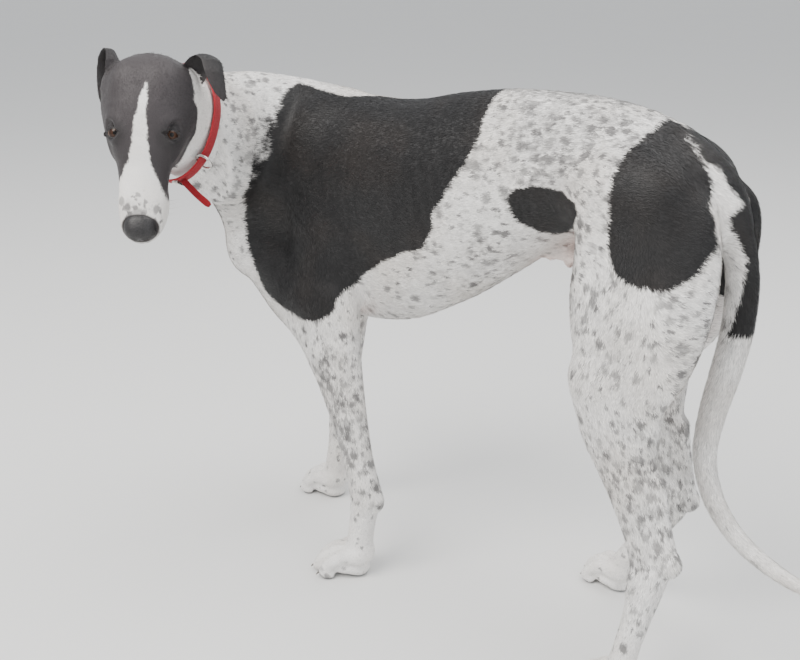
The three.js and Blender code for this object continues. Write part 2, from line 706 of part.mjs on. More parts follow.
// Closed meshes joined and cut as solids.
function solidOf(geometry) {
  const plain = geometry.clone();
  plain.deleteAttribute("normal");
  plain.deleteAttribute("uv");
  const merged = BufferGeometryUtils.mergeVertices(plain, 1e-4);
  return new wasm.Manifold(
    new wasm.Mesh({
      numProp: 3,
      vertProperties: Float32Array.from(merged.attributes.position.array),
      triVerts: Uint32Array.from(merged.index.array),
    }),
  );
}

// The largest closed body of a solid, as a mesh.
function geometryOf(solid) {
  const largest = solid.decompose().sort((a, b) => b.volume() - a.volume())[0];
  const mesh = largest.getMesh();
  const geometry = new THREE.BufferGeometry();
  const positions = new Float32Array(mesh.numVert * 3);
  for (let i = 0; i < mesh.numVert; i++)
    for (let k = 0; k < 3; k++) positions[3 * i + k] = mesh.vertProperties[i * mesh.numProp + k];
  geometry.setAttribute("position", new THREE.BufferAttribute(positions, 3));
  geometry.setIndex(Array.from(mesh.triVerts));
  return geometry;
}

// Everything past a plane, as a block to cut with. The block starts half a cut's gap before the plane.
const BLOCK = 1600;
function past(point, way, gap = CUT_GAP / 2) {
  const normal = way.clone().normalize();
  const geometry = new THREE.BoxGeometry(BLOCK, BLOCK, BLOCK);
  const turn = new THREE.Quaternion().setFromUnitVectors(vec(0, 0, 1), normal);
  const middle = point.clone().addScaledVector(normal, BLOCK / 2 - gap);
  geometry.applyMatrix4(new THREE.Matrix4().compose(middle, turn, vec(1, 1, 1)));
  return solidOf(geometry);
}

// A closed loft through rings of points, each ring going the same way round, with flat ends.
function loft(rings) {
  const sides = rings[0].length;
  const positions = rings.flat().flatMap((p) => [p.x, p.y, p.z]);
  const faces = [];
  for (let r = 0; r < rings.length - 1; r++)
    for (let s = 0; s < sides; s++) {
      const a = r * sides + s;
      const b = r * sides + ((s + 1) % sides);
      faces.push(a, b, b + sides, a, b + sides, a + sides);
    }
  const last = (rings.length - 1) * sides;
  for (let s = 1; s < sides - 1; s++) {
    faces.push(0, s + 1, s);
    faces.push(last, last + s, last + s + 1);
  }
  const geometry = new THREE.BufferGeometry();
  geometry.setAttribute("position", new THREE.Float32BufferAttribute(positions, 3));
  geometry.setIndex(faces);
  return geometry;
}

// A loft of rounded sections along stations like a tube's, with a section every so often.
function limb(stations, { up, sides = 12, every = 24, grow = 0, from = 0, to = 1 }) {
  const curve = new THREE.CatmullRomCurve3(stations.map((s) => vec(...s.at)));
  const count = Math.max(3, Math.round((curve.getLength() * (to - from)) / every));
  const size = (t, key) => {
    const place = t * (stations.length - 1);
    const i = Math.min(Math.floor(place), stations.length - 2);
    const near = [Math.max(i - 1, 0), i, i + 1, Math.min(i + 2, stations.length - 1)];
    return smoothBetween(...near.map((k) => stations[k][key]), place - i);
  };
  const rings = [];
  for (let r = 0; r <= count; r++) {
    const t = from + ((to - from) * r) / count;
    const middle = curve.getPoint(t);
    const way = curve.getTangent(t);
    const high = up.clone().addScaledVector(way, -up.dot(way)).normalize();
    const wide = way.clone().cross(high);
    rings.push(
      Array.from({ length: sides }, (_, s) => {
        const turn = (s / sides) * 2 * Math.PI;
        return middle
          .clone()
          .addScaledVector(high, Math.cos(turn) * (size(t, "up") + grow))
          .addScaledVector(wide, Math.sin(turn) * (size(t, "side") + grow));
      }),
    );
  }
  return loft(rings);
}

// The body's flesh near one piece, skinned and cut at planes that point out of it.
const allLegs = Object.values(legs).flatMap((leg) => leg.pieces);
const everything = [trunk, neck, ...neckBase, sheath, ...allLegs, ...headPieces];
const rootOfTail = tube(TAIL.slice(0, 3).map((s) => ({ ...s, up: s.up - 1.5, side: s.side - 1.5 })), {
  up: TAIL_UP,
  blend: 26,
});
function flesh(grid, cuts, { pieces = everything, carvings = [] } = {}) {
  let solid = solidOf(thinned(skin(fleshOf(pieces, carvings), grid), grid.fine));
  for (const [point, way] of cuts) solid = solid.subtract(past(point, way));
  return solid;
}
const turned = ([point, way]) => [point, way.clone().negate()];

// The joints where the body is parted. Each is a point and the way out of the piece nearer the trunk.
const neckCut = [vec(-88, -34, 616), vec(-0.42, -0.6, 0.68)];
const headCut = [onHead(-68, 0, -58), headWay(0.8, 0, 0.6)];
const waistCut = [vec(262, 0, 560), vec(1, 0, 0)];
const thighCut = [vec(480, 0, 500), vec(0.35, 0, -0.94)];
const elbowCut = [vec(0, 0, CHEST_FLOOR - 4), vec(0, 0, -1)];
const floorCut = [vec(0, 0, 0), vec(0, 0, -1)];
const kneeCut = ({ stifle, hock }) => [between(stifle, hock, 0.34), hock.clone().sub(stifle)];
const wristCut = ({ carpus, knuckle }) => [between(carpus, knuckle, 0.5), knuckle.clone().sub(carpus)];
const ankleCut = ({ hock, knuckle }) => [between(hock, knuckle, 0.72), knuckle.clone().sub(hock)];

// A frame for a grid that runs along a limb, from a joint's point.
function alongLimb(from, to) {
  const down = to.clone().sub(from).normalize();
  const forward = vec(-1, 0, 0).addScaledVector(down, down.x).normalize();
  return new THREE.Matrix4().makeBasis(down, forward, down.clone().cross(forward)).setPosition(from);
}

const TORSO_CELL = [17, 14, 14];
const FRONT_GRID = { low: [-230, -150, 318], high: [300, 150, 730], cell: TORSO_CELL, fine: 0.95 };
const REAR_GRID = { low: [212, -150, 400], high: [680, 150, 760], cell: TORSO_CELL, fine: 0.95 };
const NECK_GRID = { low: [-230, -345, 455], high: [30, 90, 800], cell: [12, 12, 12], fine: 0.8 };
const HEAD_GRID = {
  frame: HEAD,
  low: [-130, -78, -120],
  high: [146, 78, 40],
  cell: [5, 4.6, 4.6],
  fine: 0.3,
};
const torsoFront = () => flesh(FRONT_GRID, [neckCut, waistCut, elbowCut]);
const torsoRear = () =>
  flesh(REAR_GRID, [turned(waistCut), thighCut], { pieces: [...everything, rootOfTail] });
const neckFlesh = () => flesh(NECK_GRID, [turned(neckCut), headCut]);
const headFlesh = () => thinned(skin(fleshOf([...headPieces, neck], carved), HEAD_GRID), HEAD_GRID.fine);

function thigh(leg) {
  const { side } = leg;
  const [near, far] = side < 0 ? [-175, -6] : [6, 175];
  const grid = { low: [370, near, 250], high: [690, far, 600], cell: [12, 12, 13], fine: 0.8 };
  return flesh(grid, [turned(thighCut), kneeCut(leg)]);
}
function shank(leg, pieces) {
  const frame = alongLimb(leg.stifle, leg.hock);
  const grid = { frame, low: [40, -80, -60], high: [330, 70, 80], cell: [11, 6.5, 6.5], fine: 0.5 };
  return flesh(grid, [turned(kneeCut(leg)), ankleCut(leg)], { pieces });
}
function forearm(leg, pieces) {
  const frame = alongLimb(leg.elbow, leg.carpus);
  const grid = { frame, low: [-10, -80, -60], high: [345, 90, 60], cell: [11, 6.5, 6.5], fine: 0.5 };
  return flesh(grid, [turned(elbowCut), wristCut(leg)], { pieces });
}

// A claw: a short horn that bends down towards its point. Its root is sunk in the toe.
const CLAW = { root: 3.1, length: 15, sides: 6, rings: 4 };
function claw({ tip, way }, size) {
  const rings = [];
  for (let r = 0; r < CLAW.rings; r++) {
    const t = r / (CLAW.rings - 1);
    const thick = CLAW.root * size * (1 - 0.82 * t);
    const middle = tip.clone().addScaledVector(way, (-3 + CLAW.length * t) * size);
    middle.z += (1.5 - 8.5 * t * t) * size;
    const wide = vec(0, 0, 1).cross(way).normalize();
    rings.push(
      Array.from({ length: CLAW.sides }, (_, s) => {
        const turn = (s / CLAW.sides) * 2 * Math.PI;
        const round = middle.clone().addScaledVector(wide, Math.cos(turn) * thick * 0.75);
        return round.add(vec(0, 0, Math.sin(turn) * thick));
      }),
    );
  }
  return solidOf(loft(rings));
}

function pawFlesh(leg, { foot, pieces }, jointCut, size) {
  const frame = new THREE.Matrix4()
    .makeBasis(foot.ahead, foot.across, vec(0, 0, 1))
    .setPosition(leg.knuckle.x, leg.knuckle.y, 0);
  const grid = { frame, low: [-54, -50, -10], high: [80, 50, 100], cell: [5, 4.4, 5], fine: 0.6 };
  let solid = flesh(grid, [turned(jointCut(leg))], { pieces });
  for (const toe of foot.toes) solid = solid.add(claw(toe, size));
  return solid.subtract(past(...floorCut, 0));
}

// The eyeball, and lids that lie over its rim as an almond-shaped fold.
const LID = {
  wide: 14.5,
  high: 8.5,
  almond: 0.22,
  over: 1.2,
  domed: 11,
  fall: 0.12,
  thick: 2.3,
  sides: 6,
  steps: 20,
};
function eyeMiddle(side) {
  return onHead(EYE.forward, side * EYE.apart, EYE.up);
}
const eyeWay = (side) => headWay(0.22, side * 0.36, 0.9);
function eyeball(side, grow = 0) {
  const geometry = new THREE.SphereGeometry(EYE.radius + grow, 14, 9);
  const turn = new THREE.Quaternion().setFromUnitVectors(vec(0, 1, 0), eyeWay(side));
  geometry.applyMatrix4(new THREE.Matrix4().compose(eyeMiddle(side), turn, vec(1, 1, 1)));
  return solidOf(geometry);
}
function lids(side) {
  const out = eyeWay(side);
  const along = headWay(0.12, side, -0.32);
  along.addScaledVector(out, -along.dot(out)).normalize();
  const across = out.clone().cross(along);
  const rim = Array.from({ length: LID.steps }, (_, i) => {
    const turn = (i / LID.steps) * 2 * Math.PI;
    const reach = Math.cos(turn) * LID.wide;
    const rise = Math.sin(turn) * LID.high * (1 - LID.almond * Math.cos(turn) ** 2);
    const flat = Math.hypot(reach, rise);
    const dome = Math.sqrt((EYE.radius + LID.over) ** 2 - Math.min(flat, LID.domed) ** 2);
    const lift = dome - LID.fall * Math.max(0, flat - LID.domed);
    return eyeMiddle(side)
      .addScaledVector(along, reach)
      .addScaledVector(across, rise)
      .addScaledVector(out, lift);
  });
  const middle = rim.reduce((sum, p) => sum.add(p), vec(0, 0, 0)).divideScalar(rim.length);
  return solidOf(ring(rim, middle, out, LID.thick, LID.thick * 0.8, LID.sides));
}

// A closed ring of rounded section along a loop of points round a middle.
function ring(points, middle, out, high, wide, sides) {
  const rings = points.map((p) => {
    const away = p.clone().sub(middle);
    away.addScaledVector(out, -away.dot(out)).normalize();
    return Array.from({ length: sides }, (_, s) => {
      const turn = (s / sides) * 2 * Math.PI;
      const lifted = p.clone().addScaledVector(out, Math.cos(turn) * high);
      return lifted.addScaledVector(away, Math.sin(turn) * wide);
    });
  });
  return closedLoft(rings);
}

// A loft whose last ring joins its first, turned so that its faces point out.
function closedLoft(rings) {
  const sides = rings[0].length;
  const positions = rings.flat().flatMap((p) => [p.x, p.y, p.z]);
  const faces = [];
  rings.forEach((_, r) => {
    const next = ((r + 1) % rings.length) * sides;
    for (let s = 0; s < sides; s++) {
      const a = r * sides + s;
      const b = r * sides + ((s + 1) % sides);
      const c = next + ((s + 1) % sides);
      const d = next + s;
      faces.push(a, b, c, a, c, d);
    }
  });
  const geometry = new THREE.BufferGeometry();
  geometry.setAttribute("position", new THREE.Float32BufferAttribute(positions, 3));
  geometry.setIndex(faces);
  return outward(geometry);
}

// The same mesh with its faces turned round if its volume counts as negative.
function outward(geometry) {
  const at = geometry.attributes.position;
  const corners = geometry.index.array;
  const [a, b, c] = [vec(0, 0, 0), vec(0, 0, 0), vec(0, 0, 0)];
  let volume = 0;
  for (let i = 0; i < corners.length; i += 3) {
    a.fromBufferAttribute(at, corners[i]);
    b.fromBufferAttribute(at, corners[i + 1]);
    c.fromBufferAttribute(at, corners[i + 2]);
    volume += a.dot(b.cross(c));
  }
  if (volume < 0)
    for (let i = 0; i < corners.length; i += 3) [corners[i], corners[i + 1]] = [corners[i + 1], corners[i]];
  return geometry;
}

// The nose leather: a rounded wedge, flat in front and hollowed by two nostrils.
const NOSE = { at: [NOSE_TIP - 17, 0, -25], long: 17, wide: 20.5, high: 15 };
function noseLeather(grow = 0) {
  const geometry = new THREE.SphereGeometry(1, 14, 9);
  const at = geometry.attributes.position;
  for (let i = 0; i < at.count; i++) {
    const square = (v) => Math.sign(v) * Math.abs(v) ** 0.8;
    const [x, y, z] = [square(at.getX(i)), square(at.getY(i)), square(at.getZ(i))];
    const narrow = z < 0 ? 1 + 0.32 * z : 1 - 0.12 * z;
    const forward = NOSE.at[0] + (NOSE.long + grow) * x * (z < 0 ? 1 + 0.2 * z : 1);
    const p = onHead(forward, (NOSE.wide + grow) * y * narrow, NOSE.at[2] + (NOSE.high + grow) * z);
    at.setXYZ(i, p.x, p.y, p.z);
  }
  return solidOf(outward(geometry));
}
function nostril(side) {
  const geometry = new THREE.SphereGeometry(1, 8, 6);
  const scale = new THREE.Matrix4().makeScale(7, 3.4, 3.6);
  const place = new THREE.Matrix4().makeTranslation(NOSE_TIP - 1, side * 8.5, -25);
  geometry.applyMatrix4(scale).applyMatrix4(place).applyMatrix4(HEAD);
  return solidOf(outward(geometry));
}

// The line of the mouth: a thin slit from under the nose back to the corner on each side.
const MOUTH = [
  { forward: 117, wide: 6, up: -47 },
  { forward: 108, wide: 17, up: -49 },
  { forward: 89, wide: 24, up: -53 },
  { forward: 62, wide: 26, up: -56 },
  { forward: 38, wide: 29, up: -58 },
  { forward: 16, wide: 33, up: -58 },
];
const SLIT = { high: 1.1, deep: 9, past: 14 };
function mouthSlit(side) {
  const rings = MOUTH.map(({ forward, wide, up }) => {
    const corner = (out, lift) => onHead(forward, side * (wide + out), up + lift);
    return [
      corner(-SLIT.deep, 0),
      corner(SLIT.past, -SLIT.high - 0.9),
      corner(SLIT.past, SLIT.high),
    ];
  });
  return solidOf(outward(loft(rings)));
}

// An ear: a bent and cupped leaf of skin. Each row gives the middle of the leaf in the head's own axes,
// half its width, which way it runs across and which way its back bulges, and how deep its cup is.
const EAR_THICK = 3.6;
const EAR_ACROSS = 8;
function earLeaf(rows) {
  const front = [];
  const back = [];
  for (const { at, half, across, bulge, cup } of rows) {
    const wide = headWay(...across);
    const out = headWay(...bulge);
    out.addScaledVector(wide, -out.dot(wide)).normalize();
    for (let c = 0; c <= EAR_ACROSS; c++) {
      const s = (2 * c) / EAR_ACROSS - 1;
      const middle = onHead(...at)
        .addScaledVector(wide, half * s)
        .addScaledVector(out, cup * (1 - s * s));
      const thick = (EAR_THICK / 2) * (1 - 0.55 * s * s);
      const lean = out.clone().addScaledVector(wide, (2 * cup * s) / Math.max(half, 1)).normalize();
      back.push(middle.clone().addScaledVector(lean, thick));
      front.push(middle.clone().addScaledVector(lean, -thick));
    }
  }
  const wide = EAR_ACROSS + 1;
  const count = front.length;
  const faces = [];
  const quad = (a, b, c, d) => faces.push(a, b, c, a, c, d);
  for (let r = 0; r < rows.length - 1; r++)
    for (let c = 0; c < EAR_ACROSS; c++) {
      const a = r * wide + c;
      quad(a, a + 1, a + 1 + wide, a + wide);
      const d = count + a;
      quad(d, d + wide, d + 1 + wide, d + 1);
    }
  const rim = [];
  for (let c = 0; c < EAR_ACROSS; c++) rim.push(c);
  for (let r = 0; r < rows.length - 1; r++) rim.push(r * wide + EAR_ACROSS);
  for (let c = EAR_ACROSS; c > 0; c--) rim.push((rows.length - 1) * wide + c);
  for (let r = rows.length - 1; r > 0; r--) rim.push(r * wide);
  rim.forEach((a, i) => {
    const b = rim[(i + 1) % rim.length];
    quad(b, a, count + a, count + b);
  });
  const geometry = new THREE.BufferGeometry();
  const positions = [...front, ...back].flatMap((p) => [p.x, p.y, p.z]);
  geometry.setAttribute("position", new THREE.Float32BufferAttribute(positions, 3));
  geometry.setIndex(faces);
  return solidOf(outward(geometry));
}
const LEFT_EAR = [
  { at: [-54, 40, -34], half: 17, across: [0.1, 0.9, -0.42], bulge: [0, 0, -1], cup: 12 },
  { at: [-70, 49, -28], half: 19, across: [0.1, 0.92, -0.38], bulge: [-0.2, 0, -1], cup: 12 },
  { at: [-86, 59, -25], half: 19, across: [0.05, 0.92, -0.38], bulge: [-0.4, 0, -0.9], cup: 9 },
  { at: [-97, 68, -20], half: 18, across: [0, 0.92, -0.4], bulge: [-0.8, 0, -0.6], cup: 5 },
  { at: [-98, 73, -13], half: 15, across: [0, 0.92, -0.4], bulge: [-1, 0, 0.1], cup: 3 },
  { at: [-91, 80, -7], half: 14, across: [0, 0.9, -0.44], bulge: [-0.5, 0, 0.9], cup: 3 },
  { at: [-77, 84, -5], half: 14, across: [0.05, 0.9, -0.44], bulge: [0, 0, 1], cup: 3 },
  { at: [-62, 88, -6], half: 12, across: [0.1, 0.9, -0.42], bulge: [0, 0, 1], cup: 2 },
  { at: [-49, 93, -9], half: 8.5, across: [0.1, 0.9, -0.42], bulge: [0, 0, 1], cup: 1 },
  { at: [-42, 96, -11], half: 2.5, across: [0.1, 0.9, -0.42], bulge: [0, 0, 1], cup: 0 },
];
const RIGHT_EAR = [
  { at: [-56, -42, -36], half: 16, across: [0.2, -0.35, 0.9], bulge: [0, 1, 0.2], cup: 11 },
  { at: [-72, -46, -32], half: 18, across: [0.1, -0.35, 0.9], bulge: [-0.1, 1, 0.2], cup: 11 },
  { at: [-90, -46, -30], half: 18, across: [0, -0.3, 0.95], bulge: [-0.4, 0.9, 0.2], cup: 8 },
  { at: [-103, -48, -31], half: 16.5, across: [0, -0.25, 0.95], bulge: [-0.9, 0.5, 0.1], cup: 5 },
  { at: [-106, -54, -34], half: 15, across: [0, -0.2, 0.95], bulge: [-1, -0.2, 0], cup: 3 },
  { at: [-98, -60, -40], half: 14.5, across: [0.1, -0.2, 0.95], bulge: [-0.5, -1, 0], cup: 3 },
  { at: [-84, -63, -46], half: 14, across: [0.15, -0.15, 0.95], bulge: [0, -1, 0], cup: 2 },
  { at: [-68, -64, -52], half: 12, across: [0.2, -0.1, 0.95], bulge: [0, -1, 0], cup: 2 },
  { at: [-54, -64, -58], half: 8, across: [0.2, -0.1, 0.95], bulge: [0, -1, 0], cup: 1 },
  { at: [-45, -63, -62], half: 2.5, across: [0.2, -0.1, 0.95], bulge: [0, -1, 0], cup: 0 },
];

// The collar: a webbing band round the neck, a little slack at the throat.
const COLLAR = {
  middle: vec(-76, -224, 670),
  way: vec(0.26, -0.88, 0.4).normalize(),
  width: 17,
  thick: 2.4,
  ease: 1.6,
  slack: 6,
  steps: 40,
};
function collarAxes() {
  const up = vec(0, 0, 1).addScaledVector(COLLAR.way, -COLLAR.way.z).normalize();
  return { up, side: COLLAR.way.clone().cross(up) };
}
// How far the neck's skin is from the collar's middle at one turn round it, 0 being the crest.
const onlyNeck = fleshOf([trunk, neck, ...headPieces], []);
function neckReach(turn, shift = 0) {
  const { up, side } = collarAxes();
  const way = up.clone().multiplyScalar(Math.cos(turn)).addScaledVector(side, Math.sin(turn));
  const from = COLLAR.middle.clone().addScaledVector(COLLAR.way, shift);
  let reach = 20;
  for (let step = 16; step > 0.05; ) {
    const p = from.clone().addScaledVector(way, reach + step);
    if (onlyNeck(p.x, p.y, p.z) < 0) reach += step;
    else step /= 2;
  }
  return { way, reach };
}
function collarPoint(turn, out, along) {
  const ends = [-COLLAR.width / 2, 0, COLLAR.width / 2].map((shift) => neckReach(turn, shift).reach);
  const { way } = neckReach(turn);
  const slack = COLLAR.slack * Math.max(0, -Math.cos(turn)) ** 2;
  return COLLAR.middle
    .clone()
    .addScaledVector(way, Math.max(...ends) + COLLAR.ease + slack + out)
    .addScaledVector(COLLAR.way, along);
}
function collarBand() {
  const half = COLLAR.width / 2;
  const rings = Array.from({ length: COLLAR.steps }, (_, i) => {
    const turn = (i / COLLAR.steps) * 2 * Math.PI;
    return [
      collarPoint(turn, 0, -half),
      collarPoint(turn, COLLAR.thick, -half),
      collarPoint(turn, COLLAR.thick, half),
      collarPoint(turn, 0, half),
    ];
  });
  return solidOf(closedLoft(rings));
}

// A ring of round wire held in a sewn loop on the collar, and the free end of the strap.
const RING = { turn: 3.95, wire: 1.6, radius: 11, steps: 18, sides: 6 };
function ringWire(grow = 0) {
  const hold = collarPoint(RING.turn, COLLAR.thick + RING.wire + 1.2, 0);
  const { way } = neckReach(RING.turn);
  const round = way.clone().cross(COLLAR.way).normalize();
  const drop = round.clone().multiplyScalar(round.z > 0 ? -1 : 1).addScaledVector(way, 0.35).normalize();
  const centre = hold.clone().addScaledVector(drop, RING.radius);
  const points = Array.from({ length: RING.steps }, (_, i) => {
    const turn = (i / RING.steps) * 2 * Math.PI;
    return centre
      .clone()
      .addScaledVector(drop, Math.cos(turn) * RING.radius)
      .addScaledVector(COLLAR.way, Math.sin(turn) * RING.radius);
  });
  const out = drop.clone().cross(COLLAR.way).normalize();
  const thick = RING.wire + grow;
  return { solid: solidOf(ring(points, centre, out, thick, thick, RING.sides)), hold, round, way };
}
function ringLoop({ hold, round, way }) {
  const rings = [-6, 6].map((along) =>
    Array.from({ length: 10 }, (_, s) => {
      const turn = (s / 10) * 2 * Math.PI;
      return hold
        .clone()
        .addScaledVector(COLLAR.way, along)
        .addScaledVector(round, Math.cos(turn) * 4.6)
        .addScaledVector(way, Math.sin(turn) * 3.6 - 0.6);
    }),
  );
  return solidOf(outward(loft(rings)));
}
const STRAP = { turn: 3.35, half: 6, thick: 2, length: 46, steps: 8 };
function strapEnd() {
  const { way } = neckReach(STRAP.turn);
  const root = collarPoint(STRAP.turn, COLLAR.thick + 0.3 + STRAP.thick / 2, 0);
  const round = way.clone().cross(COLLAR.way).normalize();
  const start = round.clone().multiplyScalar(round.x > 0 ? 1 : -1);
  const rings = Array.from({ length: STRAP.steps + 1 }, (_, i) => {
    const t = i / STRAP.steps;
    const middle = root
      .clone()
      .addScaledVector(start, STRAP.length * (t - 0.28 * t * t))
      .addScaledVector(way, 14 * t)
      .add(vec(0, 0, -18 * t * t));
    const lean = way.clone().addScaledVector(start, 0.5 * t).normalize();
    return [
      middle.clone().addScaledVector(COLLAR.way, -STRAP.half).addScaledVector(lean, -STRAP.thick / 2),
      middle.clone().addScaledVector(COLLAR.way, STRAP.half).addScaledVector(lean, -STRAP.thick / 2),
      middle.clone().addScaledVector(COLLAR.way, STRAP.half).addScaledVector(lean, STRAP.thick / 2),
      middle.clone().addScaledVector(COLLAR.way, -STRAP.half).addScaledVector(lean, STRAP.thick / 2),
    ];
  });
  return solidOf(outward(loft(rings)));
}

// Colours of the coat and the hard parts.
const WHITE_COAT = { color: 0xd9d5d0, roughness: 0.85 };
const DARK_COAT = { color: 0x2b282a, roughness: 0.8 };
const PATCHED_COAT = { color: 0x6b6766, roughness: 0.85 };
const NOSE_LEATHER = { color: 0x121214, roughness: 0.5 };
const EYE_GLOSS = { color: 0x4a2c18, roughness: 0.1 };
const RED_WEBBING = { color: 0xb4141c, roughness: 0.75 };
const STEEL = { color: 0xc8c8cc, roughness: 0.25, metalness: 1 };

const dog = new THREE.Group();
function add(name, solid, finish) {
  const mesh = new THREE.Mesh(geometryOf(solid), new THREE.MeshStandardMaterial(finish));
  mesh.name = name;
  dog.add(mesh);
}

// Tail lengths are lofts along the same stations, cut where they meet.
const TAIL_PARTS = [
  ["tail_root", 2 / 12, 5 / 12],
  ["tail_middle", 5 / 12, 8.5 / 12],
  ["tail_end", 8.5 / 12, 1],
];
const tailCurve = new THREE.CatmullRomCurve3(TAIL.map((s) => vec(...s.at)));
const tailGap = CUT_GAP / 2 / tailCurve.getLength();
const tailLoft = (from, to, grow = 0) => limb(TAIL, { up: TAIL_UP, sides: 10, every: 26, from, to, grow });
const clearTail = solidOf(outward(tailLoft(TAIL_PARTS[0][1] - tailGap * 2, 1, CUT_GAP)));
for (const [name, from, to] of TAIL_PARTS)
  add(name, solidOf(outward(tailLoft(from + tailGap, to === 1 ? 1 : to - tailGap))), WHITE_COAT);

const neckSolid = neckFlesh();
const headMesh = headFlesh();
const clearNeck = solidOf(swollen(geometryOf(neckSolid), CUT_GAP));
const clearHead = solidOf(swollen(headMesh, CUT_GAP));
let head = solidOf(headMesh).subtract(past(...turned(headCut)));
for (const side of [-1, 1]) head = head.add(lids(side));
for (const side of [-1, 1]) head = head.subtract(eyeball(side, CUT_GAP)).subtract(mouthSlit(side));
head = head.subtract(noseLeather(CUT_GAP));
add("head", head, DARK_COAT);
add("nose", noseLeather().subtract(nostril(-1)).subtract(nostril(1)), NOSE_LEATHER);
for (const [name, side] of [["eye_left", 1], ["eye_right", -1]]) add(name, eyeball(side), EYE_GLOSS);
for (const [name, rows] of [["ear_left", LEFT_EAR], ["ear_right", RIGHT_EAR]])
  add(name, earLeaf(rows).subtract(clearHead).subtract(clearNeck), DARK_COAT);
add("neck", neckSolid, WHITE_COAT);
add("torso_front", torsoFront(), PATCHED_COAT);
add("torso_rear", torsoRear().subtract(clearTail), PATCHED_COAT);
for (const [name, joints, shape] of [
  ["left", FORE.left, legs.left_fore],
  ["right", FORE.right, legs.right_fore],
]) {
  add(`foreleg_${name}`, forearm(joints, shape.pieces), WHITE_COAT);
  add(`fore_paw_${name}`, pawFlesh(joints, shape, wristCut, FORE_SIZE), WHITE_COAT);
}
for (const [name, joints, shape] of [
  ["left", HIND.left, legs.left_hind],
  ["right", HIND.right, legs.right_hind],
]) {
  add(`thigh_${name}`, thigh(joints).subtract(clearTail), PATCHED_COAT);
  add(`hind_leg_${name}`, shank(joints, shape.pieces), WHITE_COAT);
  add(`hind_paw_${name}`, pawFlesh(joints, shape, ankleCut, HIND_SIZE), WHITE_COAT);
}
const wire = ringWire();
add("collar", collarBand().add(ringLoop(wire)).subtract(ringWire(CUT_GAP).solid), RED_WEBBING);
add("collar_ring", wire.solid, STEEL);
add("collar_strap_end", strapEnd(), RED_WEBBING);

// The frame's origin is under the middle of the dog, on the floor.
const box = new THREE.Box3().setFromObject(dog);
const middle = box.getCenter(vec(0, 0, 0));
for (const mesh of dog.children) mesh.geometry.translate(-middle.x, -middle.y, -box.min.z);
export default dog;
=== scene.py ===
"""A greyhound standing still at life size, looking back over its left shoulder, with a red collar.

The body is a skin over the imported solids, with short fur on it. Flesh, markings and the lie of the coat are
worked out in millimetres from the point on the floor under the withers, with the dog's forward at -X and its
left side at -Y, and are set into the frame, in metres, at the end.
"""

import json
import logging
import math
import sys
from dataclasses import dataclass, field
from enum import Enum

import bmesh
import bpy
import numpy as np
from mathutils import Matrix, Vector

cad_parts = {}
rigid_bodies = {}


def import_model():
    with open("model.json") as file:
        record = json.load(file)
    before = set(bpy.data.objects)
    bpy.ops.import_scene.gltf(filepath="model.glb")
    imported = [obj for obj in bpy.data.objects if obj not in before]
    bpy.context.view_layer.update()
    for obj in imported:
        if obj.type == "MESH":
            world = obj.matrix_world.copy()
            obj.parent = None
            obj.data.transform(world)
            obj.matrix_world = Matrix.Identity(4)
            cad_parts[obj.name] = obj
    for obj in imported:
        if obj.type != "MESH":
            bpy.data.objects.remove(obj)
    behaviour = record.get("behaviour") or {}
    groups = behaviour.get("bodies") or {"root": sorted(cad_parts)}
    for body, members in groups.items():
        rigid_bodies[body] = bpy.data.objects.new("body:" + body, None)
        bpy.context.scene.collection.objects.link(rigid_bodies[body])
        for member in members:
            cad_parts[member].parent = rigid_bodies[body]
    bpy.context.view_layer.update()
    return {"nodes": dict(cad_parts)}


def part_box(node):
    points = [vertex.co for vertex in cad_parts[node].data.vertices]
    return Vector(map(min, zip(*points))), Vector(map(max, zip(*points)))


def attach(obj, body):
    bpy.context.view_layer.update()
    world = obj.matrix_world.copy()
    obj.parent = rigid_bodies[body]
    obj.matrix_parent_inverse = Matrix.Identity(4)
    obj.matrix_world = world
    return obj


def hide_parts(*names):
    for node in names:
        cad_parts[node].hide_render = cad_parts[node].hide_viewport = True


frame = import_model()
LOG = logging.getLogger("greyhound")
Array = np.ndarray
Draw = np.random.Generator
Row = tuple[float, ...]
Faces = list[tuple[int, ...]]
Material, Mesh, Node = bpy.types.Material, bpy.types.Mesh, bpy.types.Node
Piece, Socket, Tree = bpy.types.Object, bpy.types.NodeSocket, bpy.types.NodeTree
MM = 0.001

# Driving sizes, as in the solids.
WITHERS_HEIGHT = 690.0
LOIN_HEIGHT = 719.0
CHEST_FLOOR = 361.0
TUCK_UP = 524.0
CHEST_HALF_WIDTH = 90.0
LOIN_HALF_WIDTH = 70.0
ELBOW_HEIGHT = 385.0
CARPUS_HEIGHT = 125.0
STIFLE_HEIGHT = 385.0
HOCK_HEIGHT = 178.0
COAT_DEPTH = 1.2


def vec(*values: float) -> Array:
    """Returns the values as an array."""
    return np.array(values, float)


def unit(v: Array) -> Array:
    """Returns v, or each row of v, at length one."""
    return v / np.maximum(np.linalg.norm(v, axis=-1, keepdims=True), 1e-9)


def norms(v: Array) -> Array:
    """Returns the length of each row of v."""
    return np.linalg.norm(v, axis=-1)


def dots(a: Array, b: Array) -> Array:
    """Returns the products of the rows of a with those of b."""
    return np.einsum("ij,ij->i", a, b)


def smooth_step(low: float, high: float, x: Array) -> Array:
    """Returns 0 where x is at low, 1 where it is at high, and a smooth rise between."""
    t = np.clip((x - low) / (high - low), 0, 1)
    return t * t * (3 - 2 * t)


def bump(x: Array, width: float) -> Array:
    """Returns a soft hill over x: 1 at zero, and about 0 past twice the width."""
    return np.exp(-((x / width) ** 2))


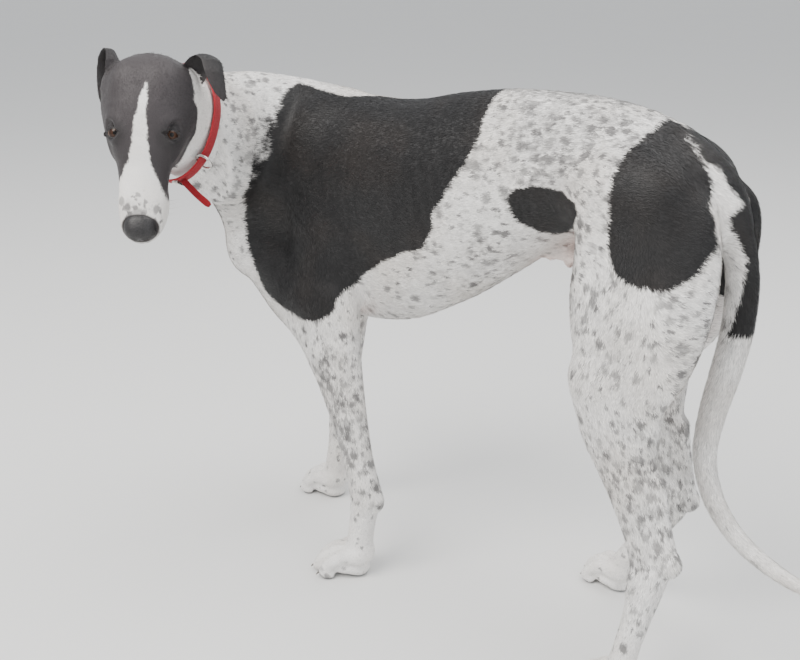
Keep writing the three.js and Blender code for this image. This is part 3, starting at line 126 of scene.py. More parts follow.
def turned_about(v: Array, axis: Array, angle: float) -> Array:
    """Turns a vector about a unit axis.

    Args:
        v: the vector.
        axis: the unit axis.
        angle: how far, in radians.

    Returns:
        The turned vector.
    """
    cos, sin = math.cos(angle), math.sin(angle)
    return v * cos + np.cross(axis, v) * sin + axis * (axis @ v) * (1 - cos)


# The head's own axes are forward to the nose, to its left, and up out of the forehead.
EYES_MIDDLE = vec(-26, -331, 672)
MUZZLE_BEARING = math.radians(-54.9)
MUZZLE_DROP = math.radians(66)
HEAD_ROLL = math.radians(-6)


def head_axes() -> Array:
    """Returns the head's forward, left and up directions as rows."""
    forward = vec(
        math.cos(MUZZLE_BEARING) * math.cos(MUZZLE_DROP),
        math.sin(MUZZLE_BEARING) * math.cos(MUZZLE_DROP),
        -math.sin(MUZZLE_DROP),
    )
    left = unit(np.cross(vec(0, 0, 1), forward))
    up = np.cross(forward, left)
    return np.array([forward, turned_about(left, forward, HEAD_ROLL), turned_about(up, forward, HEAD_ROLL)])


HEAD = head_axes()


def head_way(forward: float, left: float, up: float) -> Array:
    """Returns a direction given along the head's axes, at length one."""
    return unit(vec(forward, left, up) @ HEAD)


def on_head(forward: float, left: float, up: float) -> Array:
    """Returns the place of a point given along the head's axes."""
    return EYES_MIDDLE + vec(forward, left, up) @ HEAD


def in_head(points: Array) -> Array:
    """Returns places as forward, left and up along the head's axes."""
    return (points - EYES_MIDDLE) @ HEAD.T


@dataclass
class Tube:
    """A fleshy tube through stations of x, y, z, reach up, reach down and reach to each side."""

    stations: list[Row]
    up: Array = field(default_factory=lambda: vec(0, 0, 1))
    power: float = 2.0
    blend: float = 20.0
    steps: int = 4

    def __post_init__(self) -> None:
        """Works out the rows between the stations, on a smooth curve."""
        rows = np.array(self.stations, float)
        last = len(rows) - 1
        dense = []
        for i in range(last):
            a, b, c, d = (rows[k] for k in (max(i - 1, 0), i, i + 1, min(i + 2, last)))
            for s in range(self.steps):
                t = s / self.steps
                curve = (2 * a - 5 * b + 4 * c - d) * t**2 + (3 * b - a - 3 * c + d) * t**3
                dense.append(0.5 * (2 * b + (c - a) * t + curve))
        dense.append(rows[last])
        self.dense = np.array(dense)
        reach = self.dense[:, 3:].max(axis=1, keepdims=True) + 60
        self.low = (self.dense[:, :3] - reach).min(axis=0)
        self.high = (self.dense[:, :3] + reach).max(axis=0)

    def distance(self, points: Array) -> Array:
        """Returns how far points are outside the tube, near its surface."""
        best = np.full(len(points), 1e6)
        for a, b in zip(self.dense[:-1], self.dense[1:]):
            along = b[:3] - a[:3]
            side = unit(along)
            lift = unit(self.up - side * (self.up @ side))
            away = points - a[:3]
            t = np.clip(away @ along / (along @ along), 0, 1)
            away -= t[:, None] * along
            high = away @ lift
            far2 = dots(away, away)
            wide = np.sqrt(np.maximum(far2 - high * high, 0))
            tall = np.where(high > 0, a[3] + (b[3] - a[3]) * t, a[4] + (b[4] - a[4]) * t)
            broad = a[5] + (b[5] - a[5]) * t
            if self.power == 2:
                ratio = np.hypot(high / tall, wide / broad)
            else:
                ratio = (np.abs(high / tall) ** self.power + (wide / broad) ** self.power) ** (1 / self.power)
            far = np.sqrt(far2)
            inside = -np.minimum(tall, broad)
            best = np.minimum(best, np.where(ratio < 1e-4, inside, far - far / np.maximum(ratio, 1e-4)))
        return best


@dataclass
class Egg:
    """A rounded muscle or bone end: an egg with half sizes along three axes."""

    middle: Array
    sizes: Row
    axes: Array = field(default_factory=lambda: np.eye(3))
    blend: float = 15.0

    def __post_init__(self) -> None:
        """Works out the box that the egg can touch."""
        reach = max(self.sizes) + 50
        self.low = self.middle - reach
        self.high = self.middle + reach

    def distance(self, points: Array) -> Array:
        """Returns how far points are outside the egg, near its surface."""
        away = points - self.middle
        ratio = norms((away @ self.axes.T) / np.array(self.sizes))
        far = norms(away)
        return np.where(ratio < 1e-4, -min(self.sizes), far - far / np.maximum(ratio, 1e-4))


def axes_along(way: Array, up: Array | None = None) -> Array:
    """Returns the forward, left and up rows of a long egg that points along a way."""
    up = vec(0, 1, 0) if up is None else up
    forward = unit(way)
    left = unit(up - forward * (up @ forward))
    return np.array([forward, left, np.cross(forward, left)])


def muscle(start: Array, end: Array, across: float, high: float, blend: float, past: float) -> Egg:
    """A long muscle between two points.

    Args:
        start: where it begins.
        end: where it ends.
        across: half its width across the body.
        high: half its height.
        blend: how softly it joins the rest.
        past: how far it runs past its ends, as a share of its length.

    Returns:
        The muscle.
    """
    way = end - start
    length = float(np.linalg.norm(way)) * (0.5 + past)
    return Egg((start + end) / 2, (length, across, high), axes_along(way), blend)


def station(x: float, top: float, middle: float, bottom: float, side: float) -> Row:
    """Returns one row of the trunk, taken across the body at x."""
    return (x, 0, middle, top - middle, middle - bottom, side)


def row(p: Array, up: float, side: float, down: float | None = None) -> Row:
    """Returns one row of a tube at a point."""
    return (*p, up, up if down is None else down, side)


def between(a: Array, b: Array, t: float, shift: Row = (0, 0, 0)) -> Array:
    """Returns the point at t from a to b, moved by a shift."""
    return a + (b - a) * t + vec(*shift)


TRUNK: list[Row] = [
    station(-172, 556, 520, 476, 26),
    station(-154, 602, 525, 436, 48),
    station(-112, 650, 535, 396, 66),
    station(-60, WITHERS_HEIGHT - 14, 545, CHEST_FLOOR + 18, 78),
    station(0, WITHERS_HEIGHT, 550, CHEST_FLOOR + 8, 84),
    station(60, WITHERS_HEIGHT - 1, 554, CHEST_FLOOR + 6, 87),
    station(120, WITHERS_HEIGHT - 2, 560, CHEST_FLOOR + 18, CHEST_HALF_WIDTH),
    station(180, WITHERS_HEIGHT + 4, 568, CHEST_FLOOR + 50, CHEST_HALF_WIDTH),
    station(240, LOIN_HEIGHT - 12, 582, CHEST_FLOOR + 90, 84),
    station(300, LOIN_HEIGHT - 3, 600, CHEST_FLOOR + 131, 76),
    station(360, LOIN_HEIGHT - 1, 612, TUCK_UP - 1, LOIN_HALF_WIDTH),
    station(420, LOIN_HEIGHT - 4, 618, TUCK_UP + 18, LOIN_HALF_WIDTH),
    station(480, LOIN_HEIGHT - 17, 614, TUCK_UP + 18, 68),
    station(532, LOIN_HEIGHT - 46, 600, TUCK_UP + 15, 56),
    station(564, LOIN_HEIGHT - 78, 586, TUCK_UP + 20, 40),
]
TAIL: list[Row] = [
    (520, 0, 658, 22, 22, 22),
    (564, 2, 628, 22, 22, 21),
    (595, 4, 583, 21, 21, 20),
    (610, 5, 528, 20, 20, 19),
    (611, 6, 468, 19.5, 19.5, 18.5),
    (602, 7, 410, 19, 19, 18),
    (590, 7, 352, 17, 17, 16.5),
    (585, 7, 292, 15, 15, 14.5),
    (603, 6, 238, 13.5, 13.5, 13),
    (640, 4, 197, 12, 12, 11.5),
    (690, 2, 172, 10.5, 10.5, 10),
    (740, 2, 160, 8, 8, 7.5),
    (786, 4, 163, 4, 4, 4),
]
TAIL_UP = unit(vec(1, 0, 0.3))
NECK: list[Row] = [
    (-20, 0, 590, 96, 128, 72),
    (-76, -18, 612, 92, 120, 70),
    (-102, -76, 628, 88, 112, 62),
    (-100, -138, 640, 80, 100, 56),
    (-86, -194, 656, 72, 84, 52),
    (-72, -240, 680, 58, 65, 49),
    (-64, -272, 702, 46, 58, 47),
]


@dataclass(frozen=True)
class Leg:
    """Where a leg's bones meet. The side is -1 on the left, and the bearing turns its paw out, in degrees."""

    side: int
    top: Row
    root: Row
    middle: Row
    joint: Row
    knuckle: Row
    bearing: float
    size: float

    def point(self, name: str) -> Array:
        """Returns one of the leg's places as an array."""
        return vec(*getattr(self, name))

    @property
    def ahead(self) -> Array:
        """The forward direction of the paw on the floor."""
        angle = math.radians(self.bearing)
        return vec(-math.cos(angle), self.side * math.sin(angle), 0)

    @property
    def across(self) -> Array:
        """The direction across the paw."""
        return np.cross(vec(0, 0, 1), self.ahead)


# In a fore leg these are the shoulder blade, shoulder, elbow, carpus and knuckle. In a hind leg the top and
# the root are both the hip, and then come the stifle, hock and knuckle.
ELBOWS = ((54, -84, ELBOW_HEIGHT), (-58, 82, ELBOW_HEIGHT - 2))
CARPI = ((117, -86, CARPUS_HEIGHT), (-72, 76, CARPUS_HEIGHT + 2))
STIFLES = ((490, -92, STIFLE_HEIGHT), (440, 92, STIFLE_HEIGHT + 4))
HOCKS = ((574, -88, HOCK_HEIGHT), (513, 92, HOCK_HEIGHT - 6))
HIPS = ((505, -66, 600), (505, 66, 600))
FORE_LEFT = Leg(-1, (-2, -44, 640), (-112, -78, 460), ELBOWS[0], CARPI[0], (110, -94, 44), 24, 1)
FORE_RIGHT = Leg(1, (-12, 44, 640), (-138, 72, 468), ELBOWS[1], CARPI[1], (-86, 72, 44), 4, 1)
HIND_LEFT = Leg(-1, HIPS[0], HIPS[0], STIFLES[0], HOCKS[0], (556, -122, 46), 12, 0.96)
HIND_RIGHT = Leg(1, HIPS[1], HIPS[1], STIFLES[1], HOCKS[1], (434, 110, 42), 20, 0.96)
LEGS = {"fore_left": FORE_LEFT, "fore_right": FORE_RIGHT, "hind_left": HIND_LEFT, "hind_right": HIND_RIGHT}


@dataclass(frozen=True)
class Toe:
    """One toe of a paw, from its root over its knuckle to its tip."""

    root: Array
    knuckle: Array
    tip: Array
    way: Array


TOE_PLACES = [(-23, 26, -14), (-8.5, 40, -4), (8.5, 40, 4), (23, 26, 14)]


def paw_place(leg: Leg, forward: float, sideways: float, height: float) -> Array:
    """Returns a place on a leg's paw, in the paw's own directions and size."""
    flat = vec(leg.knuckle[0], leg.knuckle[1], 0)
    return flat + (leg.ahead * forward + leg.across * sideways + vec(0, 0, height)) * leg.size


def toes(leg: Leg) -> list[Toe]:
    """Returns a paw's four toes."""
    found = []
    for across, ahead, turn in TOE_PLACES:
        angle = math.radians(turn)
        way = leg.ahead * math.cos(angle) + leg.across * math.sin(angle)
        knuckle = paw_place(leg, ahead, across, 31)
        tip = knuckle + way * 21 * leg.size
        tip[2] = 11.5 * leg.size
        found.append(Toe(paw_place(leg, ahead - 26, across * 0.72, 34), knuckle, tip, way))
    return found


def paw_pieces(leg: Leg) -> list[Tube | Egg]:
    """Returns a paw's flesh: four arched toes round a main pad, with webbed skin between."""
    s = leg.size
    pieces: list[Tube | Egg] = []
    for toe in toes(leg):
        bridge = [
            row(toe.root, 12 * s, 11 * s),
            row(between(toe.root, toe.knuckle, 0.7, (0, 0, 2)), 11.5 * s, 11 * s),
            row(toe.knuckle, 11 * s, 10.6 * s, 12 * s),
            row(between(toe.knuckle, toe.tip, 0.6, (0, 0, 2)), 10 * s, 10 * s),
            row(toe.tip, 8 * s, 8.6 * s, 12 * s),
        ]
        pieces.append(Tube(bridge, unit(vec(0, 0, 1) + leg.ahead * 0.4), blend=4.5))
        ball = toe.tip - leg.ahead * 5 * s
        ball[2] = 7 * s
        pieces.append(Egg(ball, (12 * s, 8.6 * s, 8.6 * s), axes_along(leg.ahead), 4))
    axes = axes_along(leg.ahead, leg.across)
    pieces.append(Egg(paw_place(leg, 2, 0, 10), (18 * s, 21 * s, 12 * s), axes, 6))
    pieces.append(Egg(paw_place(leg, -2, 0, 34), (22 * s, 24 * s, 18 * s), axes, 8))
    pieces.append(Egg(paw_place(leg, 19, 0, 14), (31 * s, 28 * s, 13 * s), axes, 6))
    return pieces


def fore_leg(leg: Leg) -> list[Tube | Egg]:
    """Returns a fore leg's flesh from the shoulder blade to the paw."""
    blade, shoulder, elbow = leg.point("top"), leg.point("root"), leg.point("middle")
    carpus, knuckle = leg.point("joint"), leg.point("knuckle")
    upper = between(blade, elbow, 0.35, (0, leg.side * 10, 0))
    pectoral = shoulder + vec(10, -leg.side * 8, -20)
    bones = [
        row(between(elbow, carpus, -0.1, (-12, 0, 0)), 56, 33),
        row(between(elbow, carpus, 0.12, (-12, 0, 0)), 53, 32),
        row(between(elbow, carpus, 0.32, (-7, 0, 0)), 41, 27),
        row(between(elbow, carpus, 0.54, (-4, 0, 0)), 32, 22),
        row(between(elbow, carpus, 0.78, (-1, 0, 0)), 25, 19.5),
        row(between(elbow, carpus, 0.93), 25.5, 22),
        row(carpus, 25.5, 22),
        row(between(carpus, knuckle, 0.28), 22, 20),
        row(between(carpus, knuckle, 0.6), 20, 20),
        row(knuckle, 20, 22),
    ]
    return [
        muscle(blade, shoulder, 30, 52, 36, 0.1),
        muscle(upper, between(elbow, carpus, 0.05), 32, 50, 34, 0.1),
        muscle(shoulder, elbow, 33, 44, 30, 0.12),
        Egg(shoulder, (34, 30, 40), blend=30),
        muscle(pectoral, between(elbow, carpus, 0.22, (-26, 0, 0)), 26, 24, 26, 0.1),
        Egg(elbow + vec(16, 0, 6), (24, 22, 26), blend=22),
        Tube(bones, vec(1, 0, 0), blend=16),
        Egg(carpus + vec(21, 0, -4), (12, 10, 14), blend=10),
        *paw_pieces(leg),
    ]


def hind_leg(leg: Leg) -> list[Tube | Egg]:
    """Returns a hind leg's flesh from the hip to the paw."""
    hip, stifle, hock, knuckle = (leg.point(n) for n in ("root", "middle", "joint", "knuckle"))
    side = leg.side
    heel = hock + vec(22, 0, 10)
    buttock = hip + vec(74, -side * 8, -14)
    rump = hip + vec(22, side * 8, 12)
    calf = between(stifle, hock, 0.25, (44, -side * 2, 10))
    back_of_knee = between(stifle, hock, 0.12, (52, side * 2, 34))
    side_of_knee = between(stifle, hock, 0.1, (22, side * 2, 20))
    bones = [
        row(stifle + vec(20, 0, 20), 58, 36),
        row(between(stifle, hock, 0.18, (12, 0, 0)), 53, 31),
        row(between(stifle, hock, 0.38, (6, 0, 0)), 42, 25),
        row(between(stifle, hock, 0.6), 30, 20),
        row(between(stifle, hock, 0.8, (-2, 0, 0)), 25, 18),
        row(hock + vec(-6, 0, 6), 27, 19.5),
        row(between(hock, knuckle, 0.16, (-3, 0, 0)), 25, 19.5),
        row(between(hock, knuckle, 0.45), 19, 17),
        row(between(hock, knuckle, 0.75), 17, 17.5),
        row(knuckle, 18, 20),
    ]
    upper, lower = between(calf, heel, 0.35), between(calf, heel, 0.75)
    tendon = [row(upper, 12, 9), row(lower, 9.5, 7.5), row(heel, 12, 11)]
    back = vec(1, 0, 0)
    return [
        Egg(hip + vec(-6, -side * 4, 10), (72, 44, 60), blend=40),
        muscle(hip + vec(-26, 0, -10), stifle + vec(0, 0, 30), 38, 44, 40, 0.14),
        muscle(buttock, back_of_knee, 34, 46, 40, 0.12),
        muscle(rump, side_of_knee, 36, 56, 36, 0.06),
        Egg(stifle + vec(-4, 0, 12), (30, 28, 38), blend=26),
        Tube(bones, back, blend=18),
        Tube(tendon, back, blend=14),
        Egg(heel, (12, 11, 14), blend=8),
        *paw_pieces(leg),
    ]


@dataclass(frozen=True)
class EyePlace:
    """Where the eyeballs sit in the head, and their radius."""

    forward: float = 1.0
    apart: float = 33.0
    up: float = -17.0
    radius: float = 11.5


EYE = EyePlace()
NOSE_TIP = 133.0


def head_egg(forward: float, left: float, up: float, sizes: Row, blend: float) -> Egg:
    """Returns an egg placed and turned by the head's axes."""
    return Egg(on_head(forward, left, up), sizes, HEAD, blend)


def head_row(forward: float, up: float, high: float, low: float, side: float) -> Row:
    """Returns a row of the skull's tube."""
    return (*on_head(forward, 0, up), high, low, side)


def head_pieces() -> list[Tube | Egg]:
    """Returns the flesh of the head from the back of the skull to the lips."""
    skull = [
        head_row(-62, -37, 30, 35, 34),
        head_row(-56, -36, 38, 44, 46),
        head_row(-42, -34, 45, 50, 53),
        head_row(-20, -32, 44, 46, 52),
        head_row(6, -32, 39, 42, 45),
        head_row(30, -32, 32, 36, 36),
        head_row(60, -33, 26.5, 30, 31),
        head_row(88, -33, 23, 26, 30.5),
        head_row(109, -33, 19, 21, 27),
    ]
    pieces: list[Tube | Egg] = [Tube(skull, HEAD[2], power=2.2, blend=12)]
    for side in (-1, 1):
        pieces += [
            head_egg(-46, side * 43, -48, (36, 14, 26), 16),
            head_egg(-44, side * 30, -66, (34, 16, 24), 16),
            head_egg(-4, side * 33, -8, (19, 11, 9), 10),
            head_egg(-8, side * 37, -28, (34, 10, 9), 12),
            head_egg(-64, side * 22, -8, (24, 18, 14), 14),
            head_egg(-66, side * 44, -34, (17, 13, 17), 14),
            head_egg(87, side * 19.5, -43, (31, 11.5, 10), 7),
        ]
    pieces += [
        head_egg(54, 0, -58, (63, 18, 9), 8),
        head_egg(-6, 0, -66, (54, 26, 15), 16),
        head_egg(-54, 0, -74, (36, 30, 20), 20),
    ]
    return pieces


def neck_base() -> list[Egg]:
    """Returns the muscle on each side from the neck's base to the point of the shoulder."""
    return [muscle(vec(-104, s * 92 - 34, 590), vec(-132, s * 76, 480), 26, 30, 30, 0.1) for s in (-1, 1)]


class Flesh:
    """The body as one soft shape: tubes and eggs blended in order, with hollows taken out."""

    def __init__(self, pieces: list[Tube | Egg], hollows: list[Egg] | None = None) -> None:
        """Keeps the pieces and the hollows."""
        self.pieces = pieces
        self.hollows = hollows or []

    @staticmethod
    def blended(a: Array, b: Array, blend: float) -> Array:
        """Returns the lower of two distances, softly blended."""
        h = np.maximum(blend - np.abs(a - b), 0) / blend
        return np.minimum(a, b) - h * h * blend / 4

    def value(self, points: Array) -> Array:
        """Returns how far points are outside the body, near its surface."""
        value = np.full(len(points), 60.0)
        for piece in self.pieces:
            near = np.all((points > piece.low) & (points < piece.high), axis=1)
            if near.any():
                value[near] = self.blended(value[near], piece.distance(points[near]), piece.blend)
        for hollow in self.hollows:
            near = np.all((points > hollow.low) & (points < hollow.high), axis=1)
            if near.any():
                value[near] = -self.blended(-value[near], hollow.distance(points[near]), hollow.blend)
        return value

    def slope(self, points: Array, value: Array) -> Array:
        """Returns the value's slope at points, from small steps along each axis."""
        step = 0.4
        return np.stack([(self.value(points + step * axis) - value) / step for axis in np.eye(3)], axis=1)

    def settled(self, points: Array, times: int, reach: float) -> Array:
        """Moves points that are near the surface onto it.

        Args:
            points: the places.
            times: how many steps to take.
            reach: how far from the surface a point may start. Points past half as far again stay.

        Returns:
            The new places.
        """
        for _ in range(times):
            value = self.value(points)
            slope = self.slope(points, value)
            share = 1 - smooth_step(reach, reach * 1.5, np.abs(value))
            step = slope * (value / np.maximum(dots(slope, slope), 0.2))[:, None]
            points = points - step * share[:, None]
        return points


HEAD_PIECES = head_pieces()
BROW = (EYE.forward + 1, EYE.apart + 10, EYE.up + 14)
BROW_HOLLOWS = [head_egg(BROW[0], s * BROW[1], BROW[2], (13, 10, 10), 6) for s in (-1, 1)]
NECK_TUBE = Tube(NECK, blend=34)
BODY = Flesh(
    [
        Tube(TRUNK, blend=30),
        NECK_TUBE,
        *neck_base(),
        Egg(vec(388, 0, 510), (36, 11, 13), blend=16),
        *[piece for leg in (FORE_LEFT, FORE_RIGHT) for piece in fore_leg(leg)],
        *[piece for leg in (HIND_LEFT, HIND_RIGHT) for piece in hind_leg(leg)],
        *HEAD_PIECES,
        Tube([(*r[:3], *(v - 1.5 for v in r[3:])) for r in TAIL[:3]], TAIL_UP, blend=26),
        Tube(TAIL, TAIL_UP, blend=5),
    ]
)
FACE = Flesh([*HEAD_PIECES, NECK_TUBE], BROW_HOLLOWS)
THROAT = Flesh([Tube(TRUNK, blend=30), NECK_TUBE, *HEAD_PIECES])


COLLAR_MIDDLE = vec(-76, -224, 670)
COLLAR_WAY = unit(vec(0.26, -0.88, 0.4))


def frame_shift() -> Array:
    """Returns where the point under the withers is in the frame, in metres, from the left eye's node."""
    low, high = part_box("eye_left")
    return np.array((low + high) / 2) - on_head(EYE.forward, EYE.apart, EYE.up) * MM


SHIFT = frame_shift()


def to_frame(points: Array) -> Array:
    """Returns places in millimetres from the withers as places in the frame, in metres."""
    return points * MM + SHIFT


def from_frame(points: Array) -> Array:
    """Returns places in the frame as millimetres from the point under the withers."""
    return (points - SHIFT) / MM


def smooth_distance(points: Array, path: list[Row]) -> Array:
    """Returns how far points are from a bent line of places."""
    best = np.full(len(points), 1e6)
    for a, b in zip(path[:-1], path[1:]):
        start, along = vec(*a), vec(*b) - vec(*a)
        t = np.clip((points - start) @ along / (along @ along), 0, 1)
        best = np.minimum(best, norms(points - start - t[:, None] * along))
    return best


def outline_distance(flat: Array, outline: list[Row]) -> Array:
    """Returns how far flat points lie inside a closed outline, below zero outside it."""
    inside = np.zeros(len(flat), bool)
    best = np.full(len(flat), 1e6)
    for a, b in zip(outline, outline[1:] + outline[:1]):
        start, along = vec(*a), vec(*b) - vec(*a)
        t = np.clip((flat - start) @ along / (along @ along), 0, 1)
        best = np.minimum(best, norms(flat - start - t[:, None] * along))
        if a[1] != b[1]:
            crosses = (a[1] > flat[:, 1]) != (b[1] > flat[:, 1])
            inside ^= crosses & (flat[:, 0] < start[0] + (flat[:, 1] - start[1]) * along[0] / along[1])
    return np.where(inside, best, -best)


class Region(Enum):
    """The lengths of the body that the coat lies along, each with its own tile of the unwrap."""

    HEAD = 0
    NECK = 1
    TORSO = 2
    FORE_LEFT = 3
    FORE_RIGHT = 4
    HIND_LEFT = 5
    HIND_RIGHT = 6
    TAIL = 7


@dataclass
class Course:
    """The line that the coat follows along one length of the body, from its roots' end to its tips' end."""

    region: Region
    path: list[Row]
    radius: float

    def nearest(self, points: Array) -> tuple[Array, Array, Array, Array]:
        """Finds the nearest place on the line.

        Args:
            points: the places.

        Returns:
            The distance in radii, the line's direction, how far along it is from 0 to 1, and the offset.
        """
        steps = [float(np.linalg.norm(vec(*b) - vec(*a))) for a, b in zip(self.path[:-1], self.path[1:])]
        best = np.full(len(points), 1e6)
        way, along_line, offset = np.zeros_like(points), np.zeros(len(points)), np.zeros_like(points)
        gone = 0.0
        for a, b, step in zip(self.path[:-1], self.path[1:], steps):
            start, along = vec(*a), vec(*b) - vec(*a)
            t = np.clip((points - start) @ along / (along @ along), 0, 1)
            away = points - start - t[:, None] * along
            far = norms(away)
            closer = far < best
            best = np.where(closer, far, best)
            way[closer] = unit(along)
            along_line = np.where(closer, (gone + t * step) / sum(steps), along_line)
            offset[closer] = away[closer]
            gone += step
        return best / self.radius, way, along_line, offset


def leg_course(region: Region, leg: Leg, top: Row) -> Course:
    """Returns the coat's line down a leg and out over its paw."""
    ends = [tuple(leg.point(n)) for n in ("middle", "joint", "knuckle")]
    return Course(region, [top, *ends, tuple(paw_place(leg, 62, 0, 12))], 34)


COURSES = [
    Course(Region.HEAD, [tuple(on_head(*p)) for p in ((132, 0, -33), (20, 0, -33), (-64, 0, -38))], 46),
    Course(Region.NECK, [r[:3] for r in reversed(NECK)], 62),
    Course(Region.TORSO, [(-165, 0, 520), (0, 0, 560), (240, 0, 585), (420, 0, 612), (560, 0, 590)], 84),
    leg_course(Region.FORE_LEFT, FORE_LEFT, (0, -66, 540)),
    leg_course(Region.FORE_RIGHT, FORE_RIGHT, (-60, 66, 540)),
    leg_course(Region.HIND_LEFT, HIND_LEFT, (530, -70, 560)),
    leg_course(Region.HIND_RIGHT, HIND_RIGHT, (520, 70, 560)),
    Course(Region.TAIL, [r[:3] for r in TAIL[1:]], 19),
]


@dataclass
class Lie:
    """How the coat lies at some places: its direction, its region, and its place on the skin's unwrap."""

    way: Array
    region: Array
    unwrap: Array


def lie_at(points: Array, normals: Array) -> Lie:
    """Works out the lie of the coat.

    Args:
        points: places on the skin.
        normals: the skin's directions there.

    Returns:
        The lie of the coat.
    """
    found = [course.nearest(points) for course in COURSES]
    ratios = np.stack([f[0] for f in found], axis=1)
    weights = np.exp(-6 * (ratios - ratios.min(axis=1, keepdims=True)))
    way = sum(weights[:, i : i + 1] * f[1] for i, f in enumerate(found))
    way -= normals * dots(way, normals)[:, None]
    region = ratios.argmin(axis=1)
    unwrap = np.zeros((len(points), 2))
    for i, (_, along, share, offset) in enumerate(found):
        here = region == i
        turn = np.arctan2(offset[here] @ vec(0, 1, 0.2), offset[here] @ unit(vec(0.5, 0, 0.86)))
        unwrap[here, 0] = (i % 4 + 0.04 + 0.92 * share[here]) / 4
        unwrap[here, 1] = (i // 4 + 0.04 + 0.92 * (turn / (2 * math.pi) + 0.5)) / 2
    return Lie(unit(way), region, unwrap)


# Outlines of the black patches, as x and height, seen from the side.
SADDLE: list[Row] = [
    (-58, 760), (-54, 692), (-47, 668), (-45, 640), (-47, 608), (-56, 578), (-74, 544), (-93, 508),
    (-92, 474), (-72, 441), (-54, 410), (-26, 396), (18, 388), (52, 386), (76, 400), (86, 430),
    (106, 456), (150, 484), (181, 500), (211, 511), (228, 536), (230, 562), (250, 592), (263, 614),
    (277, 640), (286, 664), (283, 690), (276, 760),
]
FLANK_SPOT: list[Row] = [
    (330, 588), (341, 603), (366, 611), (412, 611), (442, 604), (447, 592), (436, 577), (398, 551),
    (372, 551), (344, 563),
]
THIGH_PATCH: list[Row] = [
    (506, 740), (504, 690), (493, 662), (491, 617), (498, 566), (513, 541), (534, 530), (572, 529),
    (597, 548), (607, 576), (602, 594), (589, 616), (577, 640), (566, 654), (542, 678), (526, 700),
    (524, 740),
]
RUMP_STRIPE: list[Row] = [
    (520, 740), (525, 690), (548, 672), (563, 660), (580, 650), (592, 632), (607, 612), (598, 600),
    (603, 578), (618, 548), (617, 505), (606, 462), (640, 460), (670, 560), (650, 640), (590, 740),
]


def rounded(outline: list[Row]) -> list[Row]:
    """Returns a closed outline with its corners cut, so that it runs in soft bends."""
    for _ in range(3):
        pairs = [(vec(*a), vec(*b)) for a, b in zip(outline, outline[1:] + outline[:1])]
        outline = [tuple(a + (b - a) * t) for a, b in pairs for t in (0.25, 0.75)]
    return outline


# The far side is not in the photograph: its patches are drawn as such a coat has them.
FAR_SADDLE = rounded([
    (46, 668), (8, 560), (66, 492), (104, 420), (176, 428), (206, 500), (262, 540), (240, 640),
    (186, 640), (140, 690),
])
FAR_NECK = rounded([
    (-150, 668), (-178, 612), (-132, 596), (-120, 548), (-84, 562), (-62, 610), (-96, 640), (-100, 690),
])
FAR_RUMP = rounded([
    (500, 760), (496, 668), (506, 620), (500, 560), (546, 500), (590, 470), (660, 480), (660, 640),
    (600, 760),
])
# The white blaze and muzzle, as forward and left on the head.
BLAZE: list[Row] = [
    (-55, 4), (-32, -3), (-8, -8), (22, -11), (38, -15), (55, -24), (64, -34), (66, -70), (170, -70),
    (170, 70), (92, 70), (86, 34), (71, 26), (58, 20), (43, 12.5), (21, 9), (-9, 7), (-54, 6),
]


# Soft round zones of dense grey ticking: x, y, z, radius and density.
TICK_ZONES: list[Row] = [
    (390, -30, 690, 110, 0.95),
    (300, -80, 640, 70, 0.5),
    (460, -90, 620, 60, 0.5),
    (440, 60, 660, 120, 0.6),
    (300, -70, 520, 90, 0.3),
    (470, -110, 470, 90, 0.45),
    (600, -60, 480, 80, 0.5),
    (560, -100, 260, 110, 0.7),
    (500, 100, 240, 120, 0.7),
    (80, -100, 240, 110, 0.75),
    (-60, 80, 240, 120, 0.7),
    (-60, -130, 640, 80, 0.45),
    (-110, -130, 560, 90, 0.35),
    (-150, -20, 500, 90, 0.2),
    (240, -60, 480, 90, 0.25),
]
FORELEG_STREAK: list[Row] = [(58, -118, 318), (80, -114, 262), (98, -106, 200)]
SPINE_EDGE_X = (20.0, 90.0)
SPINE_EDGE_Y = (-24.0, 10.0)
# The black of the cheeks ends at these heights, given as forward and up on the head.
CHEEK_EDGE = ((-60, -18), (-46, -22), (-38, -32), (-11, -51), (3, -57), (17, -76), (26, -100), (40, -130))


